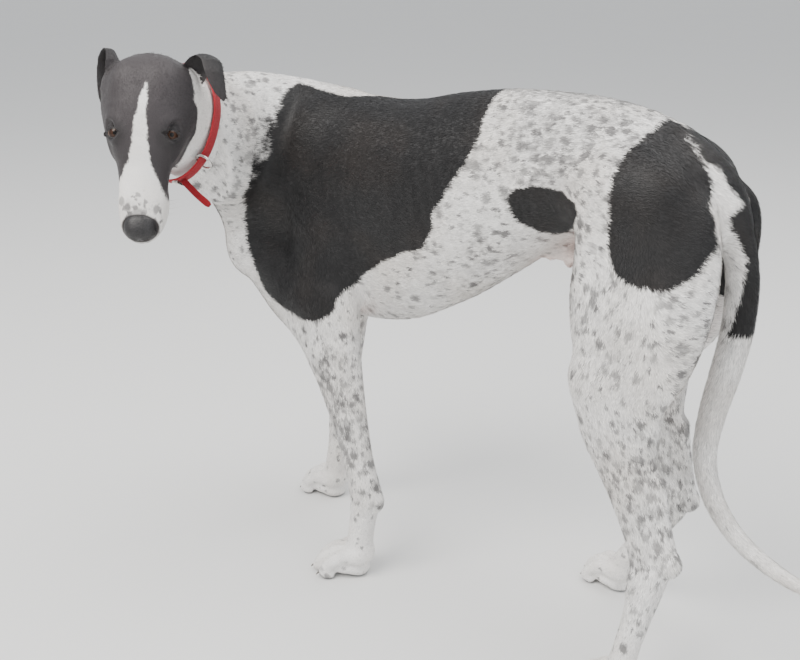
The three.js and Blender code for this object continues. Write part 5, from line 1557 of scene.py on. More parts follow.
def tube_mesh(path: Array, radii: Array, sides: int, start: int) -> tuple[Array, Faces]:
    """Builds a closed tapered tube along a path.

    Args:
        path: the places along its middle.
        radii: its radius at each place.
        sides: how many sides it has.
        start: the number of its first vertex.

    Returns:
        Its points and faces.
    """
    ways = unit(np.gradient(path, axis=0))
    aside = unit(np.cross(ways, vec(0.31, 0.2, 0.93)))
    over = np.cross(ways, aside)
    turns = np.linspace(0, 2 * math.pi, sides, endpoint=False)
    circle = np.cos(turns)[None, :, None] * aside[:, None] + np.sin(turns)[None, :, None] * over[:, None]
    points = (path[:, None] + circle * radii[:, None, None]).reshape(-1, 3)
    faces: Faces = []
    for i in range(len(path) - 1):
        for j in range(sides):
            k = (j + 1) % sides
            a, b = start + i * sides, start + (i + 1) * sides
            faces.append((a + j, a + k, b + k, b + j))
    last = start + (len(path) - 1) * sides
    faces.append(tuple(reversed(range(start, start + sides))))
    faces.append(tuple(range(last, last + sides)))
    return points, faces


@dataclass(frozen=True)
class LidShape:
    """The opening of the lids, as half sizes on the eyeball, and how the lids stand round it."""

    wide: float = 8.9
    high: float = 5.7
    lean_out: float = 0.27
    lean_up: float = 0.92

    def axes(self, side: int) -> Array:
        """Returns the eye's outward direction, the direction along the lids and the one across them."""
        out = head_way(0.26, side * self.lean_out, self.lean_up)
        along = head_way(0.14, side, -0.34)
        along = unit(along - out * (along @ out))
        return np.array([out, along, np.cross(out, along)])

    def spread(self, points: Array, side: int) -> tuple[Array, Array, Array]:
        """Measures places about an eye.

        Args:
            points: the places.
            side: 1 for the left eye, -1 for the right.

        Returns:
            How many openings out each place is, its distance from the eye's middle, and its direction.
        """
        middle = on_head(EYE.forward, side * EYE.apart, EYE.up)
        away = points - middle
        far = norms(away)
        way = away / np.maximum(far, 1e-6)[:, None]
        out, along, across = self.axes(side)
        a, b = away @ along / self.wide, away @ across
        high = self.high * (1 - 0.4 * np.minimum(a * a, 1.5))
        e = np.hypot(a, b / np.maximum(high, 1.2))
        return np.where((way @ out > 0.05) & (far < 60), e, 9.0), far, way


LIDS = LidShape()
MOUTH_LINE: list[Row] = [
    (120, 3, -50), (115, 10, -50), (106, 18, -50), (89, 24.5, -53), (62, 27, -56), (38, 30, -58),
    (14, 34, -59),
]


@dataclass
class Skin:
    """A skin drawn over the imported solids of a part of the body, with no seam between them."""

    name: str
    nodes: tuple[str, ...]
    voxel: float
    flesh: Flesh
    neck_side: int
    reach: float
    splits: int = 1
    markings: Markings = field(default_factory=Markings)

    def build(self) -> Piece:
        """Builds the skin, shapes it, and writes its markings on it."""
        obj = self.remeshed()
        self.refine(obj)
        points = self.flesh.settled(places(obj), 3, self.reach)
        put_places(obj, points)
        self.shape(obj)
        points = places(obj)
        points[:, 2] = np.maximum(points[:, 2], 0.4)
        put_places(obj, points)
        self.mark(obj, points)
        return obj

    def remeshed(self) -> Piece:
        """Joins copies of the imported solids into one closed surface."""
        copies = []
        for node in self.nodes:
            source = frame["nodes"][node]
            copy = source.copy()
            copy.data = source.data.copy()
            copy.parent = None
            for key in list(copy.keys()):
                del copy[key]
            bpy.context.scene.collection.objects.link(copy)
            only(copy)
            bpy.ops.object.mode_set(mode="EDIT")
            bpy.ops.mesh.select_all(action="SELECT")
            bpy.ops.mesh.remove_doubles(threshold=1e-6)
            if node == "neck":
                self.cut_neck()
            bpy.ops.object.mode_set(mode="OBJECT")
            copies.append(copy)
        obj = only(*copies)
        bpy.ops.object.join()
        obj.name = self.name
        obj.data.name = self.name
        obj.data.materials.clear()
        finish_with(obj, "DISPLACE", strength=0.0008, mid_level=0.0)
        finish_with(obj, "REMESH", mode="VOXEL", voxel_size=self.voxel * MM)
        finish_with(obj, "SMOOTH", factor=0.5, iterations=4)
        return obj

    def cut_neck(self) -> None:
        """Keeps the side of the neck that this skin covers, up to just under the collar."""
        place = to_frame(COLLAR_MIDDLE - COLLAR_WAY * 2.5 * self.neck_side)
        bpy.ops.mesh.bisect(
            plane_co=place, plane_no=COLLAR_WAY * self.neck_side, use_fill=True, clear_inner=True
        )

    def near_detail(self, points: Array) -> Array:
        """Finds the places whose small forms need a finer mesh."""
        return np.zeros(len(points), bool)

    def refine(self, obj: Piece) -> None:
        """Splits the faces where small forms need it."""
        for _ in range(self.splits):
            near = self.near_detail(places(obj))
            mesh = bmesh.new()
            mesh.from_mesh(obj.data)
            mesh.verts.ensure_lookup_table()
            edges = [e for e in mesh.edges if near[e.verts[0].index] and near[e.verts[1].index]]
            bmesh.ops.subdivide_edges(mesh, edges=edges, cuts=1, use_grid_fill=True)
            mesh.to_mesh(obj.data)
            mesh.free()

    def shape(self, obj: Piece) -> None:
        """Works the small forms into the settled skin."""

    def mark(self, obj: Piece, points: Array) -> None:
        """Writes the markings as attributes on the vertices."""
        give(obj, "place", to_frame(points))
        give(obj, "ticks", self.markings.ticks(points))
        give(obj, "bare", self.markings.bare(points))
        give(obj, "pads", self.markings.dark(points))
        give(obj, "frost", self.markings.frost(points))
        give(obj, "tone", np.zeros(len(points)))
        smoothed(obj)


@dataclass
class HeadSkin(Skin):
    """The skin of the head, ears and upper neck, with its lids, lips and folds."""

    def near_detail(self, points: Array) -> Array:
        """Finds what lies near the eyes, the lips and the nose."""
        near = np.zeros(len(points), bool)
        for side in (-1, 1):
            e, far, _ = LIDS.spread(points, side)
            near |= (e < 2.1) & (far < 24)
            near |= smooth_distance(points, self.mouth_path(side)) < 4
        return near

    def mouth_path(self, side: int) -> list[Row]:
        """Returns the line of the lips on one side of the head."""
        return [tuple(on_head(f, side * w, u)) for f, w, u in MOUTH_LINE]

    def shape(self, obj: Piece) -> None:
        """Sinks the skin by the coat's depth, then forms the folds, the lips, the nose's bed and the lids."""
        points, ways = places(obj), normals(obj)
        spot = in_head(points)
        thin = smooth_step(0.5, 2.5, np.abs(FACE.value(points)))
        lift = -COAT_DEPTH - 0.3 * thin
        lift = lift + relief(spot, HEAD_STROKES, vec(0, 1, 0), np.zeros(3)) * (1 - thin)
        for side in (-1, 1):
            far = smooth_distance(points, self.mouth_path(side))
            lift -= 2.6 * bump(far, 0.95)
            over = spot[:, 2] - np.interp(spot[:, 0], [-20, 14, 62, 120], [-59, -59, -56, -50])
            lift += 1.1 * bump(over - 3.2, 2.2) * smooth_step(10, 30, spot[:, 0]) * bump(far - 3, 4)
        points = points + ways * lift[:, None]
        nose = (spot - vec(NOSE_TIP - 17, 0, -25)) / vec(17, 20.5, 15)
        inside = norms(nose)
        sink = smooth_step(1.12, 0.86, inside)
        points -= HEAD[0] * (5.5 * sink)[:, None]
        self.close_lids(points)
        put_places(obj, points)

    def close_lids(self, points: Array) -> None:
        """Draws the skin in round each eye as two lids, with a crease over them."""
        radius = EYE.radius
        for side in (-1, 1):
            e, far, way = LIDS.spread(points, side)
            profile_e = [0.0, 0.94, 0.99, 1.04, 1.12, 1.24, 1.34, 1.5]
            profile_r = [-2.4, -2.2, -0.5, 0.65, 1.1, 1.35, 1.1, 1.3]
            target = radius + np.interp(e, profile_e, profile_r)
            share = (1 - smooth_step(1.22, 1.62, e)) * smooth_step(27, 22, far)
            middle = on_head(EYE.forward, side * EYE.apart, EYE.up)
            moved = middle + way * (far + (target - far) * share)[:, None]
            near = e < 2.0
            points[near] = moved[near]

    def mark(self, obj: Piece, points: Array) -> None:
        """Adds the head's own markings, the lips and the lids' rims."""
        super().mark(obj, points)
        leaf = smooth_step(1.5, 4, FACE.value(points))
        black = self.markings.head_patch(points, leaf)
        lips = np.zeros(len(points))
        for side in (-1, 1):
            e, _, _ = LIDS.spread(points, side)
            lips = np.maximum(lips, smooth_step(1.22, 1.08, e))
            far = smooth_distance(points, self.mouth_path(side))
            lips = np.maximum(lips, 0.9 * smooth_step(2.3, 1.3, far))
        spot = in_head(points)
        nose = norms((spot - vec(NOSE_TIP - 17, 0, -25)) / vec(17, 20.5, 15))
        lips = np.maximum(lips, smooth_step(1.2, 1.08, nose))
        give(obj, "patch", np.maximum(black, self.markings.body_patch(points)))
        give(obj, "lips", lips)


@dataclass
class BodySkin(Skin):
    """The skin of the neck's base, trunk, legs, paws and tail."""

    def near_detail(self, points: Array) -> Array:
        """Finds the paws."""
        return points[:, 2] < 52

    def shape(self, obj: Piece) -> None:
        """Sinks the skin by the coat's depth, then forms tendons, veins, ribs and the muscles' edges."""
        points, ways = places(obj), normals(obj)
        lift = relief(points, BODY_STROKES + leg_strokes(), vec(0, 1, 0), np.zeros(3))
        points = points + ways * (lift - COAT_DEPTH)[:, None]
        put_places(obj, points)

    def mark(self, obj: Piece, points: Array) -> None:
        """Adds the body's own patches."""
        super().mark(obj, points)
        on_neck = self.markings.head_patch(points, np.zeros(len(points)))
        give(obj, "patch", np.maximum(self.markings.body_patch(points), on_neck))
        give(obj, "lips", np.zeros(len(points)))


@dataclass
class Eyes:
    """The two eyeballs, wet and brown, each with a clear swell over its iris and the lids' dark rims."""

    gaze: Row = (0.25, 0.14, 0.95)
    converge: float = 0.12
    swell: float = 0.9
    iris: float = 7.4

    def build(self) -> list[Piece]:
        """Builds both eyeballs and the rims of the lids."""
        return [self.ball(name, side) for name, side in (("eye_left", 1), ("eye_right", -1))] + [self.rims()]

    def ball(self, node: str, side: int) -> Piece:
        """Builds an eyeball that looks along the gaze."""
        middle = on_head(EYE.forward, side * EYE.apart, EYE.up)
        way = head_way(self.gaze[0], self.gaze[1] + side * self.converge, self.gaze[2])
        turn = Vector(way).to_track_quat("Z", "Y").to_euler()
        size = {"segments": 64, "ring_count": 48, "radius": EYE.radius * MM}
        obj = primitive("uv_sphere", node + "_ball", location=to_frame(middle), rotation=turn, **size)
        away = places(obj) - middle
        ring = norms(np.cross(away, way))
        front = away @ way > 0
        ring = np.where(front, ring, 12.0)
        axes = axes_along(way, vec(0, 0, 1))
        spoke = unit(np.stack([away @ axes[1], away @ axes[2], 0 * ring], axis=1))
        away *= (1 + self.swell / EYE.radius * smooth_step(self.iris + 0.8, 1.0, ring) * front)[:, None]
        put_places(obj, middle + away)
        give(obj, "ring", ring)
        give(obj, "spoke", spoke)
        return dress(smoothed(obj), EYE_GLOSS, "eye_gloss", node)

    def rims(self) -> Piece:
        """Builds the thin dark rims along the edges of the lids."""
        points, faces, start = [], [], 0
        count, sides = 72, 10
        for side in (-1, 1):
            out, along, across = LIDS.axes(side)
            middle = on_head(EYE.forward, side * EYE.apart, EYE.up)
            turns = np.linspace(0, 2 * math.pi, count, endpoint=False)
            a = np.cos(turns)
            b = np.sin(turns) * LIDS.high * (1 - 0.4 * a * a) / EYE.radius
            a = a * LIDS.wide / EYE.radius
            up = np.sqrt(np.maximum(1 - a * a - b * b, 0.02))
            ways = unit(a[:, None] * along + b[:, None] * across + up[:, None] * out)
            path = middle + ways * (EYE.radius + 0.1)
            tangent = unit(np.roll(path, -1, axis=0) - np.roll(path, 1, axis=0))
            aside = unit(np.cross(tangent, ways))
            spin = np.linspace(0, 2 * math.pi, sides, endpoint=False)
            circle = 0.75 * np.cos(spin)[None, :, None] * aside[:, None]
            circle = circle + 0.7 * np.sin(spin)[None, :, None] * ways[:, None]
            points.append((path[:, None] + circle).reshape(-1, 3))
            for i in range(count):
                here, there = start + i * sides, start + (i + 1) % count * sides
                for j in range(sides):
                    k = (j + 1) % sides
                    faces.append((here + j, there + j, there + k, here + k))
            start += count * sides
        obj = mesh_of("lid_rims", np.concatenate(points), faces)
        return dress(faced_out(obj), NOSE_LEATHER, "nose_leather")


@dataclass
class Nose:
    """The nose leather: a rounded pad with two comma nostrils and a groove down its middle."""

    middle: Row = (NOSE_TIP - 17, 0, -25)
    sizes: Row = (17, 20.5, 15)
    square: float = 0.8

    def build(self) -> Piece:
        """Builds the nose from a round primitive, squared off and carved."""
        middle = to_frame(vec(0, 0, 0))
        obj = primitive("uv_sphere", "nose_pad", segments=128, ring_count=96, radius=MM, location=middle)
        ball = unit(places(obj))
        x, y, z = np.abs(ball).T ** self.square * np.sign(ball).T
        narrow = np.where(z < 0, 1 + 0.32 * z, 1 - 0.12 * z)
        reach = np.where(z < 0, 1 + 0.2 * z, 1)
        spot = vec(*self.middle) + np.stack([x * reach, y * narrow, z], axis=1) * vec(*self.sizes)
        spot = self.carved(spot)
        put_places(obj, EYES_MIDDLE + spot @ HEAD)
        return dress(smoothed(obj), NOSE_LEATHER, "nose_leather", "nose")

    def carved(self, spot: Array) -> Array:
        """Carves the nostrils, the slits beside them and the groove between them."""
        forward, left, up = spot.T
        front = smooth_step(NOSE_TIP - 16, NOSE_TIP - 8, forward)
        depth = 1.7 * bump(left, 1.0) * smooth_step(-22, -27, up) * front
        spot = spot - vec(1, 0, 0) * depth[:, None]
        for side in (-1, 1):
            across, high = left * side - 8.2, up + 24.5
            hole = np.hypot(across / 3.7, high / 3.5)
            slit = np.hypot((across - 4.6) / 5.6, (high + 2.2 + 0.12 * across) / 1.25)
            deep = np.maximum(6.5 * smooth_step(1.15, 0.55, hole), 3.4 * smooth_step(1.2, 0.5, slit))
            wing = 0.8 * bump(hole - 1.55, 0.3) * smooth_step(-3, 1, high)
            spot = spot + (wing * front - deep * front)[:, None] * unit(vec(1, side * -0.1, 0))
        return spot


@dataclass
class Claws:
    """The four claws of each paw."""

    length: float = 15.0
    thick: float = 3.1

    def build(self) -> list[Piece]:
        """Builds one piece of claws for each paw."""
        return [self.paw(name, leg) for name, leg in LEGS.items()]

    def paw(self, name: str, leg: Leg) -> Piece:
        """Builds the claws of one paw."""
        points, faces, shares, start = [], [], [], 0
        t = np.linspace(0, 1, 12)
        for toe in toes(leg):
            run = (-3 + self.length * t)[:, None] * toe.way * leg.size
            path = toe.tip + run
            path[:, 2] = toe.tip[2] + (1.5 - 8.5 * t * t) * leg.size
            radii = self.thick * (1 - 0.86 * t**1.4) * leg.size
            path[:, 2] = np.maximum(path[:, 2], radii + 0.3)
            more, sides = tube_mesh(path, radii, 12, start)
            points.append(more)
            faces += sides
            shares.append(np.repeat(t, 12))
            start += len(more)
        obj = mesh_of("claws_" + name, np.concatenate(points), faces)
        give(obj, "share", np.concatenate(shares))
        return dress(obj, CLAW_HORN, "nose_leather")


@dataclass
class Whiskers:
    """Short stiff hairs on the muzzle."""

    rows: tuple[Row, ...] = (
        (100, 21, -36), (92, 24, -40), (84, 26, -43), (97, 22, -43), (88, 25, -47), (78, 27, -49),
    )
    seed: int = 5

    def build(self) -> Piece:
        """Builds all the whiskers as one piece."""
        draw = np.random.default_rng(self.seed)
        points, faces, shares, start = [], [], [], 0
        t = np.linspace(0, 1, 7)
        for side in (-1, 1):
            for forward, left, up in self.rows:
                root = on_head(forward, side * (left - 2), up)
                away = head_way(-0.25 + 0.2 * draw.random(), side, -0.35 + 0.3 * draw.random())
                length = 16 + 14 * draw.random()
                path = root + (t * length)[:, None] * away - (t**2)[:, None] * (4 * HEAD[0] + 3 * HEAD[2])
                more, sides = tube_mesh(path, 0.26 * (1 - 0.8 * t), 4, start)
                points.append(more)
                faces += sides
                shares.append(np.repeat(t, 4))
                start += len(more)
        obj = mesh_of("whiskers", np.concatenate(points), faces)
        give(obj, "share", np.concatenate(shares))
        return dress(obj, WHISKER_HAIR, "white_coat")


@dataclass
class Collar:
    """The red webbing collar with its steel ring and the free end of its strap."""

    width: float = 17.0
    thick: float = 2.4
    ease: float = 1.6
    slack: float = 6.0
    ring_radius: float = 11.0
    ring_faces: Row = (0.102, -0.834, -0.541)
    wire: float = 1.6
    end_turn: float = 3.35
    end_length: float = 46.0

    def directions(self) -> tuple[Array, Array]:
        """Returns the collar's up direction and its direction to the side."""
        up = unit(vec(0, 0, 1) - COLLAR_WAY * COLLAR_WAY[2])
        return up, np.cross(COLLAR_WAY, up)

    def reach(self, turns: Array, along: float) -> Array:
        """Returns the neck's reach at turns about the collar's middle, at a place along the neck."""
        up, side = self.directions()
        ways = np.cos(turns)[:, None] * up + np.sin(turns)[:, None] * side
        middle = COLLAR_MIDDLE + COLLAR_WAY * along
        reach = np.full(len(turns), 58.0)
        for _ in range(14):
            reach = reach - 0.85 * THROAT.value(middle + ways * reach[:, None])
        return reach

    def bed(self, turns: Array) -> Array:
        """Returns the reach of the collar's inner face at turns."""
        half = self.width / 2
        widest = np.maximum.reduce([self.reach(turns, a) for a in (-half, 0, half)])
        loose = self.slack * np.maximum(0, -np.cos(turns)) ** 2
        return widest + self.ease + loose

    def place(self, turn: float, along: float, over: float) -> Array:
        """Returns a place on or over the collar's inner face."""
        up, side = self.directions()
        way = up * math.cos(turn) + side * math.sin(turn)
        reach = float(self.bed(np.array([turn]))[0])
        return COLLAR_MIDDLE + COLLAR_WAY * along + way * (reach + over)

    def build(self) -> list[Piece]:
        """Builds the band, its ring and keeper, and the strap's end."""
        return [self.band(), self.ring(), self.bead(), self.strap_end()]

    def webbing(self, name: str, rows: list[Array], along: Array, across: list[float], closed: bool) -> Piece:
        """Joins rows of places into a strap, with the weave's map in millimetres.

        Args:
            name: the piece's name.
            rows: one row of places for each corner of the cross section.
            along: how far along the strap each place of a row is.
            across: how far across the strap each row is.
            closed: whether the strap's ends meet.

        Returns:
            The strap.
        """
        sides, count = len(rows), len(along)
        faces = []
        for i in range(sides):
            k = (i + 1) % sides
            for j in range(count if closed else count - 1):
                n = (j + 1) % count
                faces.append((i * count + j, i * count + n, k * count + n, k * count + j))
        if not closed:
            faces.append(tuple(i * count for i in range(sides)))
            faces.append(tuple(i * count + count - 1 for i in reversed(range(sides))))
        obj = mesh_of(name, np.concatenate(rows), faces)
        layer = obj.data.uv_layers.new(name="weave")
        index = read(obj.data.loops, "vertex_index", kind=np.int32)
        flat = np.stack([np.tile(along, sides)[index], np.repeat(across, count)[index]], axis=1)
        layer.data.foreach_set("uv", flat.astype(np.float32).ravel())
        return faced_out(obj)

    def band(self) -> Piece:
        """Builds the band round the neck, with rolled edges."""
        count = 220
        turns = np.linspace(0, 2 * math.pi, count, endpoint=False)
        up, side = self.directions()
        ways = np.cos(turns)[:, None] * up + np.sin(turns)[:, None] * side
        bed = self.bed(turns)
        half, thick, edge = self.width / 2, self.thick, 0.9
        profile = [
            (-half, edge), (-half + edge, 0), (0, 0), (half - edge, 0), (half, edge), (half, thick - edge),
            (half - edge, thick), (half / 2, thick + 0.15), (0, thick + 0.2), (-half / 2, thick + 0.15),
            (-half + edge, thick), (-half, thick - edge),
        ]
        step = np.linalg.norm(np.diff(ways * bed[:, None], axis=0), axis=1)
        rows = [COLLAR_MIDDLE + COLLAR_WAY * place + ways * (bed + over)[:, None] for place, over in profile]
        along = np.concatenate([[0], np.cumsum(step)])
        obj = self.webbing("collar_band", rows, along, [place for place, _ in profile], True)
        return dress(obj, WEBBING, "red_webbing", "collar")

    def ring(self) -> Piece:
        """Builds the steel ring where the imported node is."""
        low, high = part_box("collar_ring")
        middle = from_frame(np.array((low + high) / 2))
        turned = Vector(self.ring_faces).to_track_quat("Z", "Y").to_euler()
        obj = primitive(
            "torus",
            "collar_ring_wire",
            location=to_frame(middle),
            rotation=turned,
            major_radius=self.ring_radius * MM,
            minor_radius=self.wire * MM,
            major_segments=72,
            minor_segments=18,
        )
        return dress(smoothed(obj), STEEL, "ring_steel", "collar_ring")

    def bead(self) -> Piece:
        """Builds the small steel keeper that closes the strap at the throat."""
        middle = self.place(self.end_turn - 0.1, -2, self.thick + 1.6)
        turn = self.end_turn - 0.1
        up, side = self.directions()
        over = up * math.cos(turn) + side * math.sin(turn)
        axes = Matrix([np.cross(COLLAR_WAY, over), COLLAR_WAY, over]).transposed()
        size, spot = (8 * MM, 19 * MM, 4.6 * MM), to_frame(middle)
        obj = primitive("cube", "collar_keeper", size, size=1, location=spot, rotation=axes.to_euler())
        finish_with(obj, "BEVEL", width=1.5 * MM, segments=5, limit_method="ANGLE")
        return dress(smoothed(obj), STEEL, "ring_steel")

    def strap_end(self) -> Piece:
        """Builds the strap's free end, which curves away from the throat."""
        up, side = self.directions()
        turn = self.end_turn
        over = up * math.cos(turn) + side * math.sin(turn)
        start = self.place(turn, 0, self.thick + 0.5)
        count = 28
        t = np.linspace(0, 1, count)
        low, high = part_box("collar_strap_end")
        far = from_frame(np.array((low + high) / 2)) - start
        way = unit(far - over * (far @ over) * 0.2)
        path = start + (t * self.end_length)[:, None] * way + (7 * np.sin(t * math.pi))[:, None] * over * 0.5
        path[:, 2] -= 8 * t * t
        ways = unit(np.gradient(path, axis=0))
        over = unit(vec(0.78, -0.6, 0.15))
        aside = unit(np.cross(ways, over))
        high_way = np.cross(aside, ways)
        half, thick = 4.4, 2.0
        profile = [
            (-half, 0.5), (-half + 0.7, 0), (half - 0.7, 0), (half, 0.5),
            (half, thick - 0.5), (half - 0.7, thick), (-half + 0.7, thick), (-half, thick - 0.5),
        ]
        narrow = np.sqrt(np.clip(1 - ((t - 0.86) / 0.14).clip(0) ** 2 * 0.75, 0.05, 1))
        rows = [path + aside * (place * narrow)[:, None] + high_way * lift for place, lift in profile]
        across = [place * 1.6 for place, _ in profile]
        obj = self.webbing("collar_strap_tip", rows, t * self.end_length, across, False)
        return dress(obj, WEBBING, "red_webbing", "collar_strap_end")


@dataclass(frozen=True)
class Growth:
    """How the tufts grow: how many on a square millimetre, and their length, width and lift."""

    density: float
    length: float
    width: float
    lift: float


GROWTH = {
    Region.HEAD: Growth(1.1, 3.6, 0.5, 0.08),
    Region.NECK: Growth(0.42, 5.8, 0.85, 0.11),
    Region.TORSO: Growth(0.36, 6.6, 1.0, 0.11),
    Region.FORE_LEFT: Growth(0.4, 5.8, 0.95, 0.13),
    Region.FORE_RIGHT: Growth(0.4, 5.8, 0.95, 0.13),
    Region.HIND_LEFT: Growth(0.38, 6.4, 1.0, 0.13),
    Region.HIND_RIGHT: Growth(0.38, 6.4, 1.0, 0.13),
    Region.TAIL: Growth(0.45, 8.0, 1.0, 0.18),
}
COAT_SLOTS = {Region.HEAD: "dark_coat", Region.TORSO: "patched_coat"}
COAT_VALUES = ("patch", "ticks", "bare", "pads", "lips", "frost")


@dataclass
class Coat:
    """Short flat fur as thin pointed tufts over the skins, along the lie of the coat."""

    skins: list[Piece]
    seed: int = 23
    most: int = 62000
    patch: float = 0.003

    def build(self) -> list[Piece]:
        """Builds the coat as pieces for each length of the body."""
        draw = np.random.default_rng(self.seed)
        rooted = [self.roots(skin, draw) for skin in self.skins]
        root = {key: np.concatenate([r[key] for r in rooted]) for key in rooted[0]}
        lie = lie_at(root["at"], root["way"])
        made = []
        for region in Region:
            chosen = np.flatnonzero((lie.region == region.value) & self.grows(root, lie, draw))
            parts = max(1, math.ceil(len(chosen) / self.most))
            order = chosen[np.argsort(lie.unwrap[chosen, 0], kind="stable")]
            for i, part in enumerate(np.array_split(order, parts)):
                if len(part):
                    name = f"coat_{region.name.lower()}_{i + 1}"
                    here = {key: values[part] for key, values in root.items()}
                    made.append(self.tufts(name, region, here, lie, part, draw))
        return made

    def roots(self, skin: Piece, draw: Draw) -> dict[str, Array]:
        """Draws the tufts' roots over a skin.

        Args:
            skin: the skin.
            draw: the seeded draw.

        Returns:
            Each root's place, the skin's direction there, and its markings.
        """
        mesh = skin.data
        mesh.calc_loop_triangles()
        corners = read(mesh.loop_triangles, "vertices", 3, np.int32)
        points, ways = places(skin), normals(skin)
        a, b, c = (points[corners[:, i]] for i in range(3))
        area = norms(np.cross(b - a, c - a)) / 2
        densest = max(g.density for g in GROWTH.values())
        count = int(area.sum() * densest * (1))
        face = np.searchsorted(np.cumsum(area) / area.sum(), np.sort(draw.random(count)))
        face = face.clip(0, len(area) - 1)
        u, v = draw.random(count), draw.random(count)
        over = u + v > 1
        u, v = np.where(over, 1 - u, u), np.where(over, 1 - v, v)
        share = np.stack([1 - u - v, u, v], axis=1)
        ring = corners[face]
        values = {"at": (points[ring] * share[:, :, None]).sum(axis=1)}
        values["way"] = unit((ways[ring] * share[:, :, None]).sum(axis=1))
        for name in COAT_VALUES:
            values[name] = (read(mesh.attributes[name].data, "value")[ring] * share).sum(axis=1)
        values["hollow"] = (self.hollows(mesh, points, ways)[ring] * share).sum(axis=1)
        return values

    def hollows(self, mesh: Mesh, points: Array, ways: Array) -> Array:
        """Returns how sharply the skin curves inwards at each vertex, per millimetre."""
        a, b = read(mesh.edges, "vertices", 2, np.int32).T
        count = np.maximum(np.bincount(np.concatenate([a, b]), minlength=len(points)), 1)
        step = points[b] - points[a]
        square = np.maximum(dots(step, step), 1e-4)
        bend_a, bend_b = (2 * dots(s * step, ways[v]) / square for s, v in ((1, a), (-1, b)))
        bend = np.bincount(a, bend_a, len(points)) + np.bincount(b, bend_b, len(points))
        bend /= count
        for _ in range(8):
            spread = np.bincount(a, bend[b], len(points)) + np.bincount(b, bend[a], len(points))
            bend = 0.4 * bend + 0.6 * spread / count
        return np.clip(bend, 0, 0.07)

    def grows(self, root: dict[str, Array], lie: Lie, draw: Draw) -> Array:
        """Returns which roots grow a tuft."""
        densest = max(g.density for g in GROWTH.values())
        density = np.array([GROWTH[r].density for r in Region])[lie.region]
        at = root["at"]
        chance = density / densest * (1 - 0.75 * root["bare"]) * (root["pads"] < 0.2) * (root["lips"] < 0.35)
        along = (at - COLLAR_MIDDLE) @ COLLAR_WAY
        under = (np.abs(along) < 10.5) & (norms(at - COLLAR_MIDDLE) < 95)
        for side in (-1, 1):
            e, far, _ = LIDS.spread(at, side)
            chance = chance * smooth_step(1.12, 1.3, e)
        return (draw.random(len(at)) < chance) & ~under

    def tufts(
        self, name: str, region: Region, root: dict[str, Array], lie: Lie, part: Array, draw: Draw
    ) -> Piece:
        """Builds one piece of the coat.

        Args:
            name: the piece's name.
            region: the length of the body that it grows on.
            root: the roots' places, directions and markings.
            lie: the lie of the whole coat.
            part: which roots of the whole coat these are.
            draw: the seeded draw.

        Returns:
            The piece.
        """
        growth = GROWTH[region]
        count = len(part)
        at, way = root["at"], root["way"]
        along = lie.way[part] + 0.16 * draw.standard_normal((count, 3))
        along = unit(along - way * dots(along, way)[:, None])
        aside = np.cross(way, along)
        size = self.sizes(region, at, root)
        length = growth.length * size * (0.75 + 0.5 * draw.random(count))
        width = growth.width * (0.6 + 0.4 * size) * (0.8 + 0.4 * draw.random(count))
        lift = growth.lift * (0.6 + 0.8 * draw.random(count))
        rise = root["hollow"] * length**2 * 0.8
        base = at - way * 0.3
        mid = at + along * (length * 0.5)[:, None] + way * (length * lift * 0.62 + rise * 0.3)[:, None]
        tip = at + along * length[:, None] + way * (length * lift * 0.8 + rise)[:, None]
        half = aside * (width / 2)[:, None]
        points = np.stack([base - half, base + half, mid - half * 0.75, mid + half * 0.75, tip], axis=1)
        mesh = bpy.data.meshes.new(name)
        mesh.vertices.add(count * 5)
        mesh.vertices.foreach_set("co", to_frame(points.reshape(-1, 3)).astype(np.float32).ravel())
        first = (np.arange(count) * 5)[:, None]
        corners = (first + np.array([0, 2, 3, 1, 2, 4, 3])).astype(np.int32)
        mesh.loops.add(count * 7)
        mesh.loops.foreach_set("vertex_index", corners.ravel())
        mesh.polygons.add(count * 2)
        starts = ((np.arange(count) * 7)[:, None] + np.array([0, 4])).astype(np.int32)
        mesh.polygons.foreach_set("loop_start", starts.ravel())
        mesh.update(calc_edges=True)
        mesh.polygons.foreach_set("use_smooth", [True] * (count * 2))
        obj = bpy.data.objects.new(name, mesh)
        bpy.context.scene.collection.objects.link(obj)
        each = {k: root[k] for k in COAT_VALUES}
        each["tone"] = np.clip(draw.standard_normal(count), -2, 2)
        for key, values in each.items():
            give(obj, key, np.repeat(values, 5))
        give(obj, "place", np.repeat(to_frame(at), 5, axis=0))
        self.unwrap(mesh, lie.unwrap[part])
        self.soften(mesh, way, along, aside)
        return dress(obj, TUFTS, COAT_SLOTS.get(region, "white_coat"))

    def sizes(self, region: Region, at: Array, root: dict[str, Array]) -> Array:
        """Returns each tuft's size against its region's: smallest on the face, lids and feet."""
        size = 1 - 0.5 * smooth_step(150, 115, norms(in_head(at) - vec(-50, 0, -20)))
        if region is Region.HEAD:
            size *= 1 - 0.4 * smooth_step(0, 70, in_head(at)[:, 0])
            for side in (-1, 1):
                e, _, _ = LIDS.spread(at, side)
                size *= 0.55 + 0.45 * smooth_step(1.5, 3.2, e)
        elif region in (Region.FORE_LEFT, Region.FORE_RIGHT, Region.HIND_LEFT, Region.HIND_RIGHT):
            size *= 0.5 + 0.5 * smooth_step(40, 160, at[:, 2])
        elif region is Region.TAIL:
            size *= 1 - 0.3 * smooth_step(300, 160, at[:, 2])
        return size * (1 - 0.4 * root["bare"])

    def unwrap(self, mesh: Mesh, spots: Array) -> None:
        """Lays each tuft out as a small patch at its root's place on the skin's unwrap."""
        layer = mesh.uv_layers.new(name="OFBake")
        left, right = (-0.8, 0), (0.8, 0)
        corners = np.array([(-1, -1), left, right, (1, -1), left, (0, 1), right]) * self.patch / 2
        flat = spots[:, None, :] + corners[None]
        layer.data.foreach_set("uv", flat.astype(np.float32).ravel())

